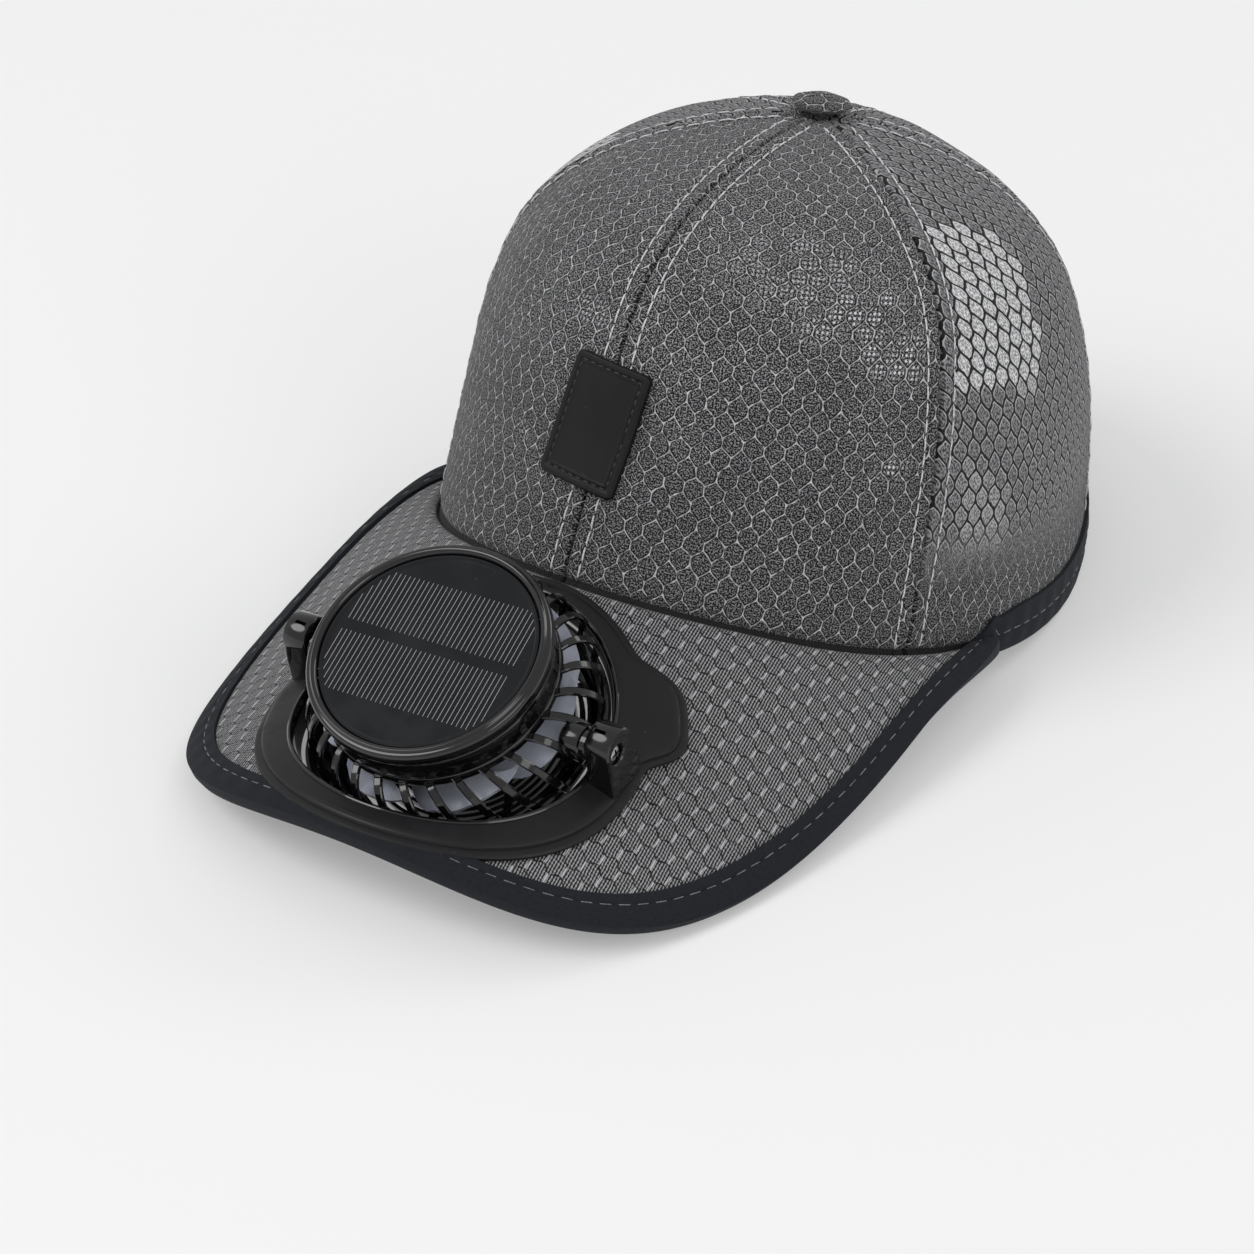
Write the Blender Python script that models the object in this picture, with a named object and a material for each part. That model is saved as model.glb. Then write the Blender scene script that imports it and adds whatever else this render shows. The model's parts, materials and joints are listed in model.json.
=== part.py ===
# Solar fan hat: a six-panel mesh cap with a tilting, solar-driven fan in its peak.
#
# Shapes are described in the frame of the cap itself: the origin is in the middle of the
# crown's hem, the peak points to -Y and the button to +Z. An empty, hat_frame, leans all of
# it back onto the surface that the cap lies on. Left and right are the wearer's, so the
# wearer's left is +X.

import math

import bmesh
import bpy
import numpy as np
from mathutils import Vector
from mathutils.geometry import interpolate_bezier

# Gap left between neighbouring pieces, and between two sewn panels
SEAT_GAP = 0.0003
SEAM_GAP = 0.0003

# Distance, or angle in radians, over which a surface's slope is measured
SLOPE_STEP = 1e-4

# Crown, to the outer face of its cloth
HEM_HALF_WIDTH = 0.0829
HEM_HALF_LENGTH = 0.1002
CROWN_HEIGHT = 0.0967
CROWN_LEAN = 0.0072
CLOTH_WALL = 0.0015
HEM_SIDE_DROP = 0.0202
HEM_BACK_RISE = 0.0024
HEM_TUCK = 0.0030
CROWN_HOLE_ANGLE = math.radians(87.6)
PANEL_ANGLE = math.radians(60)
PANEL_COLUMNS = 8

# Powers of the superellipse that the crown's plan follows, at the hem and at the top
HEM_POWER = 1.96
TOP_POWER = 1.98

# How far the crown reaches out at each angle up from the hem, as shares of the half length
# or half width of a plain ellipsoid at that angle
CROWN_SECTIONS = {
    "angle": (0, 8, 20, 35, 50, 65, 80, 90),
    "front": (1.000, 0.971, 0.966, 1.047, 1.168, 1.273, 1.344, 1.344),
    "side": (1.000, 1.003, 1.040, 1.140, 1.277, 1.343, 1.338, 1.338),
    "back": (1.000, 0.977, 0.932, 0.843, 0.800, 0.868, 0.953, 0.953),
}

# Button on top
BUTTON_RADIUS = 0.0078
BUTTON_HEIGHT = 0.0042

# Button's profile from its top down, as shares of its radius and height
BUTTON_SECTIONS = {
    "radius": (0, 0.45, 0.80, 1.00, 0.97, 0),
    "height": (1.00, 0.93, 0.66, 0.28, 0, 0),
}

# Peak
PEAK_LENGTH = 0.0872
PEAK_HALF_WIDTH = 0.0860
PEAK_WIDEST_AHEAD = 0.0663
PEAK_JOIN_ANGLE = math.radians(78.5)
PEAK_THICKNESS = 0.0022
PEAK_SLOPE = 0.405
PEAK_CURL_DROP = 0.00076
PEAK_ARCH_DROP = 0.0381
PEAK_BLEND = 0.28
PEAK_SECTIONS = 43
PEAK_END_SHARE = 0.985

# Bezier handles of half the peak's outline, as shares of the spans that they round
JOIN_HANDLE = 0.214
WIDEST_REAR_HANDLE = 0.405
WIDEST_FRONT_HANDLE = 0.652
FRONT_HANDLE = 0.814

# Tape folded over the peak's edge and over the hem
TAPE_WALL = 0.0008
PEAK_TAPE_WIDTH = 0.0095
HEM_TAPE_RISE = 0.0075
TAPE_JOIN_ANGLE = math.radians(1.6)

# Patch on the front seam
LABEL_WIDTH = 0.0220
LABEL_HEIGHT = 0.0320
LABEL_THICKNESS = 0.0016
LABEL_RISE = 0.0372

# Plate that the fan sits in
FAN_SETBACK = 0.0438
OPENING_RADIUS = 0.0385
PLATE_SIDE_RADIUS = 0.0490
PLATE_FRONT_RADIUS = 0.0466
PLATE_REAR_RADIUS = 0.0448
PLATE_THICKNESS = 0.0026
PLATE_RIM_WIDTH = 0.0012
PLATE_RIM_THICKNESS = 0.0012
EAR_REACH = 0.0092
EAR_ANGLE = math.radians(32)
EAR_SPREAD = math.radians(14)
PEAK_HOLE_MARGIN = 0.0018

# Pivots that the fan head tilts on
PIVOT_AHEAD = 0.0010
PIVOT_HEIGHT = 0.0004
LUG_INNER_X = 0.0408
LUG_WIDTH = 0.0068
LUG_RADIUS = 0.0056
BOSS_RADIUS = 0.0034
SCREW_RADIUS = 0.0010
SCREW_HEAD_RADIUS = 0.0023
SCREW_HEAD_HEIGHT = 0.0010
SCREW_RECESS = 0.0012
SCREW_REACH = 0.0022

# Fan head, in its own frame: Z is the fan's axis, X the pivots' axis, the pivots at Z 0
HEAD_SLOPE = math.radians(35.3)
GUARD_RADIUS = 0.0356
GUARD_WALL = 0.0014
GUARD_RIBS = 32
GUARD_SPOKE_EVERY = 4
RIB_SHARE = 0.30
GUARD_TOP = 0.0082
GUARD_DEPTH = 0.0140
HOUSING_RADIUS = 0.0292
HOUSING_HEIGHT = 0.0064
RIM_RADIUS = 0.0303
RIM_WIDTH = 0.0026
RIM_HEIGHT = 0.0050
SOLAR_THICKNESS = 0.0036
MOTOR_RADIUS = 0.0105
MOTOR_BOTTOM = 0.0006
SHAFT_RADIUS = 0.0012
SHAFT_REACH = 0.0060

# Impeller
HUB_RADIUS = 0.0115
HUB_HEIGHT = 0.0082
BLADE_COUNT = 7
BLADE_THICKNESS = 0.0010
BLADE_TIP_GAP = 0.0022
BLADE_RISE = 0.0034
BLADE_SWEEP = math.radians(34)
BLADE_ROOT_SPREAD = 0.42
BLADE_TIP_SPREAD = 0.72

# Guard's profile from the housing down to the middle of its underside. Radius is a share of
# the guard's radius, height a share of its top above the pivots or of its depth below them
GUARD_SECTIONS = {
    "radius": (0.750, 0.800, 0.930, 1.000, 0.994, 0.945, 0.560, 0.280, 0.130),
    "height": (1.000, 0.975, 0.640, -0.080, -0.360, -0.560, -0.920, -0.985, -1.000),
    "ring": (True, False, False, True, True, False, False, True),
}


# Building blocks


def finish(bm, name, material, parent):
    """Turns a bmesh into a smooth-shaded object with outward faces."""
    bmesh.ops.delete(bm, geom=[v for v in bm.verts if not v.link_faces], context="VERTS")
    bmesh.ops.recalc_face_normals(bm, faces=bm.faces)
    mesh = bpy.data.meshes.new(name)
    bm.to_mesh(mesh)
    bm.free()
    mesh.shade_smooth()
    mesh.set_sharp_from_angle(angle=math.radians(35))
    mesh.materials.append(material)
    obj = bpy.data.objects.new(name, mesh)
    bpy.context.collection.objects.link(obj)
    obj.parent = parent
    return obj


def grid_shell(outer, inner, solid=None, wrap=False):
    """A wall between two grids of points, with its edges and any open cells closed off."""
    rows, columns = outer.shape[:2]
    row_cells = rows if wrap else rows - 1
    if solid is None:
        solid = np.ones((row_cells, columns - 1), bool)
    bm = bmesh.new()
    front = [[bm.verts.new(point) for point in row] for row in outer]
    back = [[bm.verts.new(point) for point in row] for row in inner]

    def filled(i, j):
        i = i % rows if wrap else i
        return 0 <= i < row_cells and 0 <= j < columns - 1 and solid[i][j]

    for i in range(row_cells):
        for j in range(columns - 1):
            if not filled(i, j):
                continue
            following = (i + 1) % rows
            corners = [(i, j), (following, j), (following, j + 1), (i, j + 1)]
            neighbours = [(i, j - 1), (i + 1, j), (i, j + 1), (i - 1, j)]
            bm.faces.new([front[a][b] for a, b in corners])
            bm.faces.new([back[a][b] for a, b in reversed(corners)])
            for side, neighbour in enumerate(neighbours):
                if filled(*neighbour):
                    continue
                (a, b), (c, d) = corners[side], corners[(side + 1) % 4]
                bm.faces.new((back[a][b], back[c][d], front[c][d], front[a][b]))
    return bm


def loft(sections, closed=False):
    """A solid through closed sections of equal point counts, capped unless it closes on itself."""
    bm = bmesh.new()
    rings = [[bm.verts.new(point) for point in section] for section in sections]
    count = len(rings[0])
    pairs = list(zip(rings, rings[1:]))
    if closed:
        pairs.append((rings[-1], rings[0]))
    else:
        bm.faces.new(reversed(rings[0]))
        bm.faces.new(rings[-1])
    for first, second in pairs:
        for k in range(count):
            after = (k + 1) % count
            bm.faces.new((first[k], first[after], second[after], second[k]))
    return bm


def turned(profile, steps, closed=False):
    """A solid turned about Z from (radius, height) points. An open profile starts and ends on the axis."""
    bm = bmesh.new()
    points = [bm.verts.new((radius, 0, height)) for radius, height in profile]
    pairs = list(zip(points, points[1:])) + ([(points[-1], points[0])] if closed else [])
    edges = [bm.edges.new(pair) for pair in pairs]
    bmesh.ops.spin(
        bm, geom=points + edges, cent=(0, 0, 0), axis=(0, 0, 1), angle=math.tau, steps=steps, use_merge=True
    )
    bmesh.ops.remove_doubles(bm, verts=bm.verts, dist=1e-6)
    return bm


def curve_through(table, column, angle):
    """A smooth curve through one column of a table of sections, read at an angle in radians."""
    knots = np.radians(np.array(table["angle"], float))
    values = np.array(table[column], float)
    slopes = np.gradient(values, knots)
    slopes[-1] = 0
    angle = np.clip(angle, knots[0], knots[-1])
    k = np.clip(np.searchsorted(knots, angle, side="right") - 1, 0, len(knots) - 2)
    width = knots[k + 1] - knots[k]
    t = (angle - knots[k]) / width
    start = values[k] * (1 + 2 * t) + slopes[k] * width * t
    end = values[k + 1] * (3 - 2 * t) - slopes[k + 1] * width * (1 - t)
    return start * (1 - t) ** 2 + end * t**2


def unit(vectors):
    return vectors / np.linalg.norm(vectors, axis=-1, keepdims=True)


# Surface of the crown


def hem_height(around):
    """Height of the crease between crown and peak, or of the hem, at an angle round from the front."""
    return HEM_BACK_RISE / 2 * (1 - np.cos(around)) - HEM_SIDE_DROP / 2 * (1 - np.cos(2 * around))


def crown_surface(around, up):
    """Outer face of the crown at an angle round from the front and an angle up from the hem."""
    around, up = np.broadcast_arrays(np.asarray(around, float), np.asarray(up, float))
    ahead = np.cos(around)
    beside = np.sin(around)
    share = np.sin(up)
    power = HEM_POWER + (TOP_POWER - HEM_POWER) * share
    round_off = (np.abs(beside) ** power + np.abs(ahead) ** power) ** (-1 / power) * np.cos(up)
    lengthways = np.where(
        ahead > 0, curve_through(CROWN_SECTIONS, "front", up), curve_through(CROWN_SECTIONS, "back", up)
    )
    sideways = curve_through(CROWN_SECTIONS, "side", up)
    hem = hem_height(around)
    return np.stack(
        [
            HEM_HALF_WIDTH * sideways * round_off * beside,
            CROWN_LEAN * share - HEM_HALF_LENGTH * lengthways * round_off * ahead,
            hem + (CROWN_HEIGHT - hem) * share,
        ],
        axis=-1,
    )


def crown_point(around, up, outward=0.0, below=0.0):
    """A point of the crown, set off its outer face, or straight below the hem."""
    along = crown_surface(around + SLOPE_STEP, up) - crown_surface(around - SLOPE_STEP, up)
    rising = crown_surface(around, up + SLOPE_STEP) - crown_surface(around, np.maximum(up - SLOPE_STEP, 0))
    normal = unit(np.cross(along, rising))
    point = crown_surface(around, up) + outward * normal
    point[..., 2] -= below
    return point


def crown_angle(around, rise):
    """Angle up from the hem of the point that lies this high above it."""
    return np.arcsin(np.clip(rise / (CROWN_HEIGHT - hem_height(around)), 0, 1))


# Surface of the peak


def hem_outline(around, outward=0.0):
    return crown_point(around, np.zeros_like(around), outward)


def plain_peak_height(x, y):
    ahead = -(y + HEM_HALF_LENGTH)
    curl = PEAK_CURL_DROP * (ahead / PEAK_LENGTH) ** 2
    arch = PEAK_ARCH_DROP * (x / PEAK_HALF_WIDTH) ** 2
    return -PEAK_SLOPE * ahead - curl - arch


def peak_height(x, y):
    """Height of the peak's upper face. It runs into the hem's own curve near the crown."""
    around = np.arctan2(x / HEM_HALF_WIDTH, -y / HEM_HALF_LENGTH)
    hem = crown_surface(around, np.zeros_like(around))
    distance = np.hypot(x, y) / np.hypot(hem[..., 0], hem[..., 1]) - 1
    share = np.clip(1 - distance / PEAK_BLEND, 0, 1) ** 2
    return plain_peak_height(x, y) + share * (hem[..., 2] - plain_peak_height(hem[..., 0], hem[..., 1]))


def on_peak(x, y, above=0.0):
    """A point set off the peak's upper face, square to it."""
    x, y = np.broadcast_arrays(np.asarray(x, float), np.asarray(y, float))
    rise_x = peak_height(x + SLOPE_STEP, y) - peak_height(x - SLOPE_STEP, y)
    rise_y = peak_height(x, y + SLOPE_STEP) - peak_height(x, y - SLOPE_STEP)
    normal = unit(np.stack([-rise_x, -rise_y, np.full_like(x, 2 * SLOPE_STEP)], axis=-1))
    surface = np.stack([x, y, peak_height(x, y)], axis=-1)
    return surface + np.asarray(above)[..., None] * normal


def half_outline():
    """The peak's outline in plan, from its join with the hem round to the middle of its front."""
    join = hem_outline(np.array([PEAK_JOIN_ANGLE]), SEAT_GAP)[0]
    join = Vector((join[0], join[1], 0))
    widest = Vector((PEAK_HALF_WIDTH, -PEAK_WIDEST_AHEAD, 0))
    front = Vector((0, -(HEM_HALF_LENGTH + PEAK_LENGTH), 0))
    span = (widest - join).length
    leaving = Vector((1, -1, 0)).normalized()
    rear = interpolate_bezier(
        join,
        join + leaving * span * JOIN_HANDLE,
        widest + Vector((0, span * WIDEST_REAR_HANDLE, 0)),
        widest,
        40,
    )
    fore = interpolate_bezier(
        widest,
        widest + Vector((0, (front.y - widest.y) * WIDEST_FRONT_HANDLE, 0)),
        front + Vector((PEAK_HALF_WIDTH * FRONT_HANDLE, 0, 0)),
        front,
        60,
    )
    return np.array([point.xy for point in rear + fore[1:]])


def peak_edge(share):
    """The peak's outline in plan: 0 is the middle of its front, 1 and -1 its joins with the hem."""
    half = half_outline()[::-1]
    lengths = np.concatenate([[0], np.cumsum(np.linalg.norm(np.diff(half, axis=0), axis=1))])
    at = np.abs(share) * lengths[-1]
    x = np.interp(at, lengths, half[:, 0]) * np.sign(share)
    return np.stack([x, np.interp(at, lengths, half[:, 1])], axis=-1)


def peak_stations():
    """Where the peak is cut into sections, stopping just short of its joins with the hem."""
    return np.linspace(-PEAK_END_SHARE, PEAK_END_SHARE, PEAK_SECTIONS)


def peak_crease(share):
    """The inner edge of the peak in plan, along the crown."""
    return hem_outline(share * PEAK_JOIN_ANGLE, SEAT_GAP)[..., :2]


# Place of the fan


def fan_centre():
    y = -(HEM_HALF_LENGTH + FAN_SETBACK)
    return 0.0, y


def plate_slope():
    """Angle of the peak, front to back, where the fan sits."""
    x, y = fan_centre()
    rise = peak_height(x, y + SLOPE_STEP) - peak_height(x, y - SLOPE_STEP)
    return math.atan2(rise, 2 * SLOPE_STEP)


def plate_directions():
    slope = plate_slope()
    rearward = np.array([0, math.cos(slope), math.sin(slope)])
    upward = np.array([0, -math.sin(slope), math.cos(slope)])
    return rearward, upward


def plate_plan(radius, angle):
    """A point of the peak at a distance and an angle from the fan's centre, measured on the slope."""
    x, y = fan_centre()
    return x + radius * np.cos(angle), y + radius * np.sin(angle) * math.cos(plate_slope())


def bump(angle, middle, spread):
    away = np.abs((angle - middle + math.pi) % math.tau - math.pi)
    return np.exp(-((away / spread) ** 4))


def plate_edge(angle):
    """Radius of the plate: round, a little flatter to the front and toward the crown, with an ear each side."""
    rear = np.clip(np.sin(angle), 0, 1) ** 2
    front = np.clip(-np.sin(angle), 0, 1) ** 2
    oval = (PLATE_REAR_RADIUS - PLATE_SIDE_RADIUS) * rear + (PLATE_FRONT_RADIUS - PLATE_SIDE_RADIUS) * front
    ears = bump(angle, EAR_ANGLE, EAR_SPREAD) + bump(angle, math.pi - EAR_ANGLE, EAR_SPREAD)
    return PLATE_SIDE_RADIUS + oval + EAR_REACH * ears


def pivot_point():
    rearward, upward = plate_directions()
    x, y = fan_centre()
    seat = on_peak(x, y, SEAT_GAP + PLATE_THICKNESS)
    return seat - PIVOT_AHEAD * rearward + PIVOT_HEIGHT * upward


# Materials


def make_material(name, colour, roughness, metallic=0.0):
    material = bpy.data.materials.new(name)
    material.use_nodes = True
    shader = material.node_tree.nodes["Principled BSDF"]
    shader.inputs["Base Color"].default_value = (*colour, 1)
    shader.inputs["Roughness"].default_value = roughness
    shader.inputs["Metallic"].default_value = metallic
    material.diffuse_color = (*colour, 1)
    return material


def make_materials():
    return {
        "mesh cloth": make_material("mesh cloth", (0.11, 0.11, 0.115), 0.85),
        "peak cloth": make_material("peak cloth", (0.13, 0.13, 0.135), 0.85),
        "tape": make_material("tape", (0.018, 0.020, 0.026), 0.8),
        "rubber": make_material("rubber", (0.012, 0.012, 0.012), 0.55),
        "matt plastic": make_material("matt plastic", (0.013, 0.013, 0.014), 0.45),
        "gloss plastic": make_material("gloss plastic", (0.008, 0.008, 0.009), 0.12),
        "solar cell": make_material("solar cell", (0.010, 0.011, 0.014), 0.1),
        "blade plastic": make_material("blade plastic", (0.42, 0.44, 0.5), 0.3),
        "screw metal": make_material("screw metal", (0.5, 0.5, 0.5), 0.3, 1.0),
    }


# Pieces of the cap


def make_crown_panel(name, start, material, parent):
    """One gore of the crown, from the angle start round by a sixth of the way."""
    steep = np.radians([0, 8, 17, 27, 38, 50, 62, 74, 83])
    angles = np.concatenate([[0], steep, [CROWN_HOLE_ANGLE]])
    below = np.zeros(len(angles))
    below[0] = HEM_TUCK
    share = np.linspace(0, 1, PANEL_COLUMNS + 1)[:, None]
    middle = crown_surface(start + PANEL_ANGLE / 2, angles)
    reach = np.hypot(middle[:, 0], middle[:, 1] - CROWN_LEAN * np.sin(angles))
    inset = SEAM_GAP / 2 / reach
    around = start + inset + (PANEL_ANGLE - 2 * inset) * share
    outer = crown_point(around, angles[None, :], 0.0, below)
    inner = crown_point(around, angles[None, :], -CLOTH_WALL, below)
    return finish(grid_shell(outer, inner), name, material, parent)


def make_crown(materials, parent):
    for index, place in enumerate(("front", "side", "back")):
        start = index * PANEL_ANGLE
        make_crown_panel(f"crown_panel_{place}_left", start, materials["mesh cloth"], parent)
        make_crown_panel(f"crown_panel_{place}_right", -start - PANEL_ANGLE, materials["mesh cloth"], parent)


def make_crown_button(materials, parent):
    shares = zip(BUTTON_SECTIONS["radius"], BUTTON_SECTIONS["height"])
    profile = [(BUTTON_RADIUS * across, SEAT_GAP + BUTTON_HEIGHT * rise) for across, rise in shares]
    button = finish(turned(profile, 20), "crown_button", materials["mesh cloth"], parent)
    button.location = (0, CROWN_LEAN, CROWN_HEIGHT)


def edge_stations():
    """Edge points of the peak in plan, the ways from them to the crease, and how far the tape reaches along."""
    share = peak_stations()
    edge = peak_edge(share)
    inward = peak_crease(share) - edge
    room = np.linalg.norm(inward, axis=-1)
    inward /= room[:, None]
    tangent = unit(np.gradient(edge, axis=0))
    squareness = np.abs(inward[:, 0] * tangent[:, 1] - inward[:, 1] * tangent[:, 0])
    reach = np.minimum(PEAK_TAPE_WIDTH / squareness, room - PEAK_THICKNESS - TAPE_WALL)
    return edge, inward, room, squareness, np.maximum(reach, SEAT_GAP)


def make_peak(materials, parent):
    """The board between the crease and the outline, cut out for the fan."""
    edge, inward, room, _, reach = edge_stations()
    insets = np.concatenate([np.linspace(room, reach, 7), [reach / 2, 0 * reach]])
    plan = edge[:, None] + inward[:, None] * insets.T[:, :, None]
    upper = on_peak(plan[..., 0], plan[..., 1])
    lower = on_peak(plan[..., 0], plan[..., 1], -PEAK_THICKNESS)
    lower[:, 0] = upper[:, 0] - (0, 0, PEAK_THICKNESS)
    peak = finish(grid_shell(upper, lower), "peak", materials["peak cloth"], parent)
    bore(peak, "peak_hole", OPENING_RADIUS + PEAK_HOLE_MARGIN, parent)


def bore(target, name, radius, parent):
    """Cuts a round hole, square to the slope, at the fan's centre. The cutter reaches as far up and down as it is wide."""
    rearward, upward = plate_directions()
    x, y = fan_centre()
    profile = [(0, radius), (radius, radius), (radius, -radius), (0, -radius)]
    cutter = finish(turned(profile, 40), name, None, parent)
    cutter.rotation_euler.x = plate_slope()
    cutter.location = on_peak(x, y)
    hide(cutter)
    cut(target, cutter)


def hide(obj):
    obj.hide_render = True
    obj.display_type = "WIRE"


def cut(target, cutter, operation="DIFFERENCE"):
    modifier = target.modifiers.new(cutter.name, "BOOLEAN")
    modifier.operation = operation
    modifier.solver = "EXACT"
    modifier.object = cutter


def make_peak_binding(materials, parent):
    """The tape as a channel over the peak's edge. It is cut short where the plate covers it."""
    edge, inward, _, squareness, reach = edge_stations()
    x, y = fan_centre()
    to_fan = np.stack([edge[:, 0] - x, (edge[:, 1] - y) / math.cos(plate_slope())], axis=-1)
    plate_room = np.linalg.norm(to_fan, axis=-1) - plate_edge(np.arctan2(to_fan[:, 1], to_fan[:, 0]))
    leg = np.maximum(np.minimum(reach, plate_room / squareness - 2 * SEAT_GAP), SEAT_GAP)
    top = SEAT_GAP
    bottom = -PEAK_THICKNESS - SEAT_GAP
    outer_top = top + TAPE_WALL
    outer_bottom = bottom - TAPE_WALL
    fold = SEAT_GAP + TAPE_WALL
    section = [
        (leg, top),
        (leg / 2, top),
        (-SEAT_GAP, top),
        (-SEAT_GAP, bottom),
        (leg / 2, bottom),
        (leg, bottom),
        (leg, outer_bottom),
        (leg / 2, outer_bottom),
        (-fold * 0.6, outer_bottom),
        (-fold, bottom * 0.8),
        (-fold, bottom * 0.2),
        (-fold * 0.6, outer_top),
        (leg / 2, outer_top),
        (leg, outer_top),
    ]
    rows = []
    for inset, above in section:
        plan = edge + inward * np.broadcast_to(inset, reach.shape)[:, None]
        rows.append(on_peak(plan[:, 0], plan[:, 1], np.full(len(edge), above)))
    finish(loft(np.stack(rows, axis=1)), "peak_binding", materials["tape"], parent)


def make_hem_binding(materials, parent):
    """The tape as a channel over the hem, from one end of the peak round behind to the other."""
    start = PEAK_JOIN_ANGLE + TAPE_JOIN_ANGLE
    step = PANEL_ANGLE / PANEL_COLUMNS
    first = math.floor(start / step) + 1
    last = math.ceil((math.tau - start) / step) - 1
    around = np.array([start, *(step * k for k in range(first, last + 1)), math.tau - start])
    low = HEM_TUCK + SEAT_GAP
    inner_face = -CLOTH_WALL - SEAT_GAP
    section = [
        (HEM_TAPE_RISE, SEAT_GAP),
        (0, SEAT_GAP),
        (-low, SEAT_GAP),
        (-low, inner_face),
        (0, inner_face),
        (HEM_TAPE_RISE, inner_face),
        (HEM_TAPE_RISE, inner_face - TAPE_WALL),
        (0, inner_face - TAPE_WALL),
        (-low, inner_face - TAPE_WALL),
        (-low - TAPE_WALL, inner_face),
        (-low - TAPE_WALL, SEAT_GAP),
        (-low, SEAT_GAP + TAPE_WALL),
        (0, SEAT_GAP + TAPE_WALL),
        (HEM_TAPE_RISE, SEAT_GAP + TAPE_WALL),
    ]
    rows = []
    for rise, outward in section:
        up = crown_angle(around, max(rise, 0))
        rows.append(crown_point(around, up, outward, max(-rise, 0)))
    finish(loft(np.stack(rows, axis=1)), "hem_binding", materials["tape"], parent)


def make_label_patch(materials, parent):
    """The patch follows the crown across the front seam."""
    up_middle = crown_angle(np.array(0.0), LABEL_RISE)
    low = crown_surface(0.0, up_middle - SLOPE_STEP)
    high = crown_surface(0.0, up_middle + SLOPE_STEP)
    side = crown_surface(SLOPE_STEP, up_middle)
    per_up = 2 * SLOPE_STEP / np.linalg.norm(high - low)
    per_around = SLOPE_STEP / np.linalg.norm(side - crown_surface(0.0, up_middle))
    across = np.linspace(-0.5, 0.5, 5)[:, None] * LABEL_WIDTH
    along = np.linspace(-0.5, 0.5, 7)[None, :] * LABEL_HEIGHT
    around = across * per_around
    up = up_middle + along * per_up
    outer = crown_point(around, up, SEAT_GAP + LABEL_THICKNESS)
    inner = crown_point(around, up, SEAT_GAP)
    finish(grid_shell(outer, inner), "label_patch", materials["rubber"], parent)


# Pieces of the fan's mount


def make_fan_plate(materials, parent):
    """A flange that follows the peak, with a thin rim round its edge."""
    angle = np.linspace(0, math.tau, 60, endpoint=False)
    edge = plate_edge(angle)
    shoulder = edge - PLATE_RIM_WIDTH
    inner = np.full_like(angle, OPENING_RADIUS)
    bottom = SEAT_GAP
    top = bottom + PLATE_THICKNESS
    rim_top = bottom + PLATE_RIM_THICKNESS
    section = [
        (inner, bottom),
        (inner, top),
        ((inner + shoulder) / 2, top),
        (shoulder, top),
        (shoulder, rim_top),
        (edge, rim_top),
        (edge, bottom),
        ((inner + shoulder) / 2, bottom),
    ]
    rows = []
    for radius, above in section:
        x, y = plate_plan(radius, angle)
        rows.append(on_peak(x, y, np.full(len(angle), above)))
    finish(loft(np.stack(rows, axis=1), closed=True), "fan_plate", materials["matt plastic"], parent)


def seat_below(x, rear):
    """How far below the pivots' axis the plate's upper face lies, at this side and distance to the rear."""
    rearward, upward = plate_directions()
    pivot = pivot_point()
    drop = 0.0
    for _ in range(12):
        point = pivot + rearward * rear - upward * drop
        target = on_peak(x, point[1], 0.0)[2] + (2 * SEAT_GAP + PLATE_THICKNESS) / math.cos(plate_slope())
        drop += (point[2] - target) * math.cos(plate_slope())
    return drop


def make_pivot_lug(name, side, materials, parent):
    """An upright ear, round at the top about the pivot, standing on the plate."""
    rearward, upward = plate_directions()
    pivot = pivot_point()
    arc = np.linspace(0, math.pi, 9)
    sections = []
    for x in (LUG_INNER_X, LUG_INNER_X + LUG_WIDTH):
        outline = [(LUG_RADIUS * math.cos(a), LUG_RADIUS * math.sin(a)) for a in arc]
        outline += [(rear, -seat_below(x, rear)) for rear in (-LUG_RADIUS, 0.0, LUG_RADIUS)]
        sections.append([pivot + (side * x, 0, 0) + rearward * rear + upward * up for rear, up in outline])
    lug = finish(loft(sections), name, materials["matt plastic"], parent)
    outer = LUG_INNER_X + LUG_WIDTH
    hole = SCREW_RADIUS + SEAT_GAP
    recess = SCREW_HEAD_RADIUS + SEAT_GAP
    profile = [
        (0, outer + LUG_WIDTH),
        (recess, outer + LUG_WIDTH),
        (recess, outer - SCREW_RECESS),
        (hole, outer - SCREW_RECESS),
        (hole, LUG_INNER_X - LUG_WIDTH),
        (0, LUG_INNER_X - LUG_WIDTH),
    ]
    cutter = finish(turned(profile, 16), f"{name}_hole", None, parent)
    lay_across(cutter, side)
    hide(cutter)
    cut(lug, cutter)


def lay_across(obj, side):
    """Turns a piece's own Z to point outward along the pivots' axis, on the given side."""
    obj.rotation_euler = (0, side * math.pi / 2, 0)
    obj.location = pivot_point()


def make_pivot_screw(name, side, materials, parent):
    head_bottom = LUG_INNER_X + LUG_WIDTH - SCREW_RECESS + SEAT_GAP
    head_top = head_bottom + SCREW_HEAD_HEIGHT
    profile = [
        (0, head_top),
        (SCREW_HEAD_RADIUS * 0.8, head_top),
        (SCREW_HEAD_RADIUS, head_top - SCREW_HEAD_HEIGHT * 0.4),
        (SCREW_HEAD_RADIUS, head_bottom),
        (SCREW_RADIUS, head_bottom),
        (SCREW_RADIUS, LUG_INNER_X - SEAT_GAP - SCREW_REACH),
        (0, LUG_INNER_X - SEAT_GAP - SCREW_REACH),
    ]
    screw = finish(turned(profile, 12), name, materials["screw metal"], parent)
    lay_across(screw, side)


def make_mounts(materials, parent):
    make_fan_plate(materials, parent)
    for side, place in ((1, "left"), (-1, "right")):
        make_pivot_lug(f"pivot_lug_{place}", side, materials, parent)
        make_pivot_screw(f"pivot_screw_{place}", side, materials, parent)


# Pieces of the fan head


def guard_profile():
    radius = np.array(GUARD_SECTIONS["radius"]) * GUARD_RADIUS
    share = np.array(GUARD_SECTIONS["height"])
    return radius, np.where(share > 0, share * GUARD_TOP, share * GUARD_DEPTH)


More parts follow.
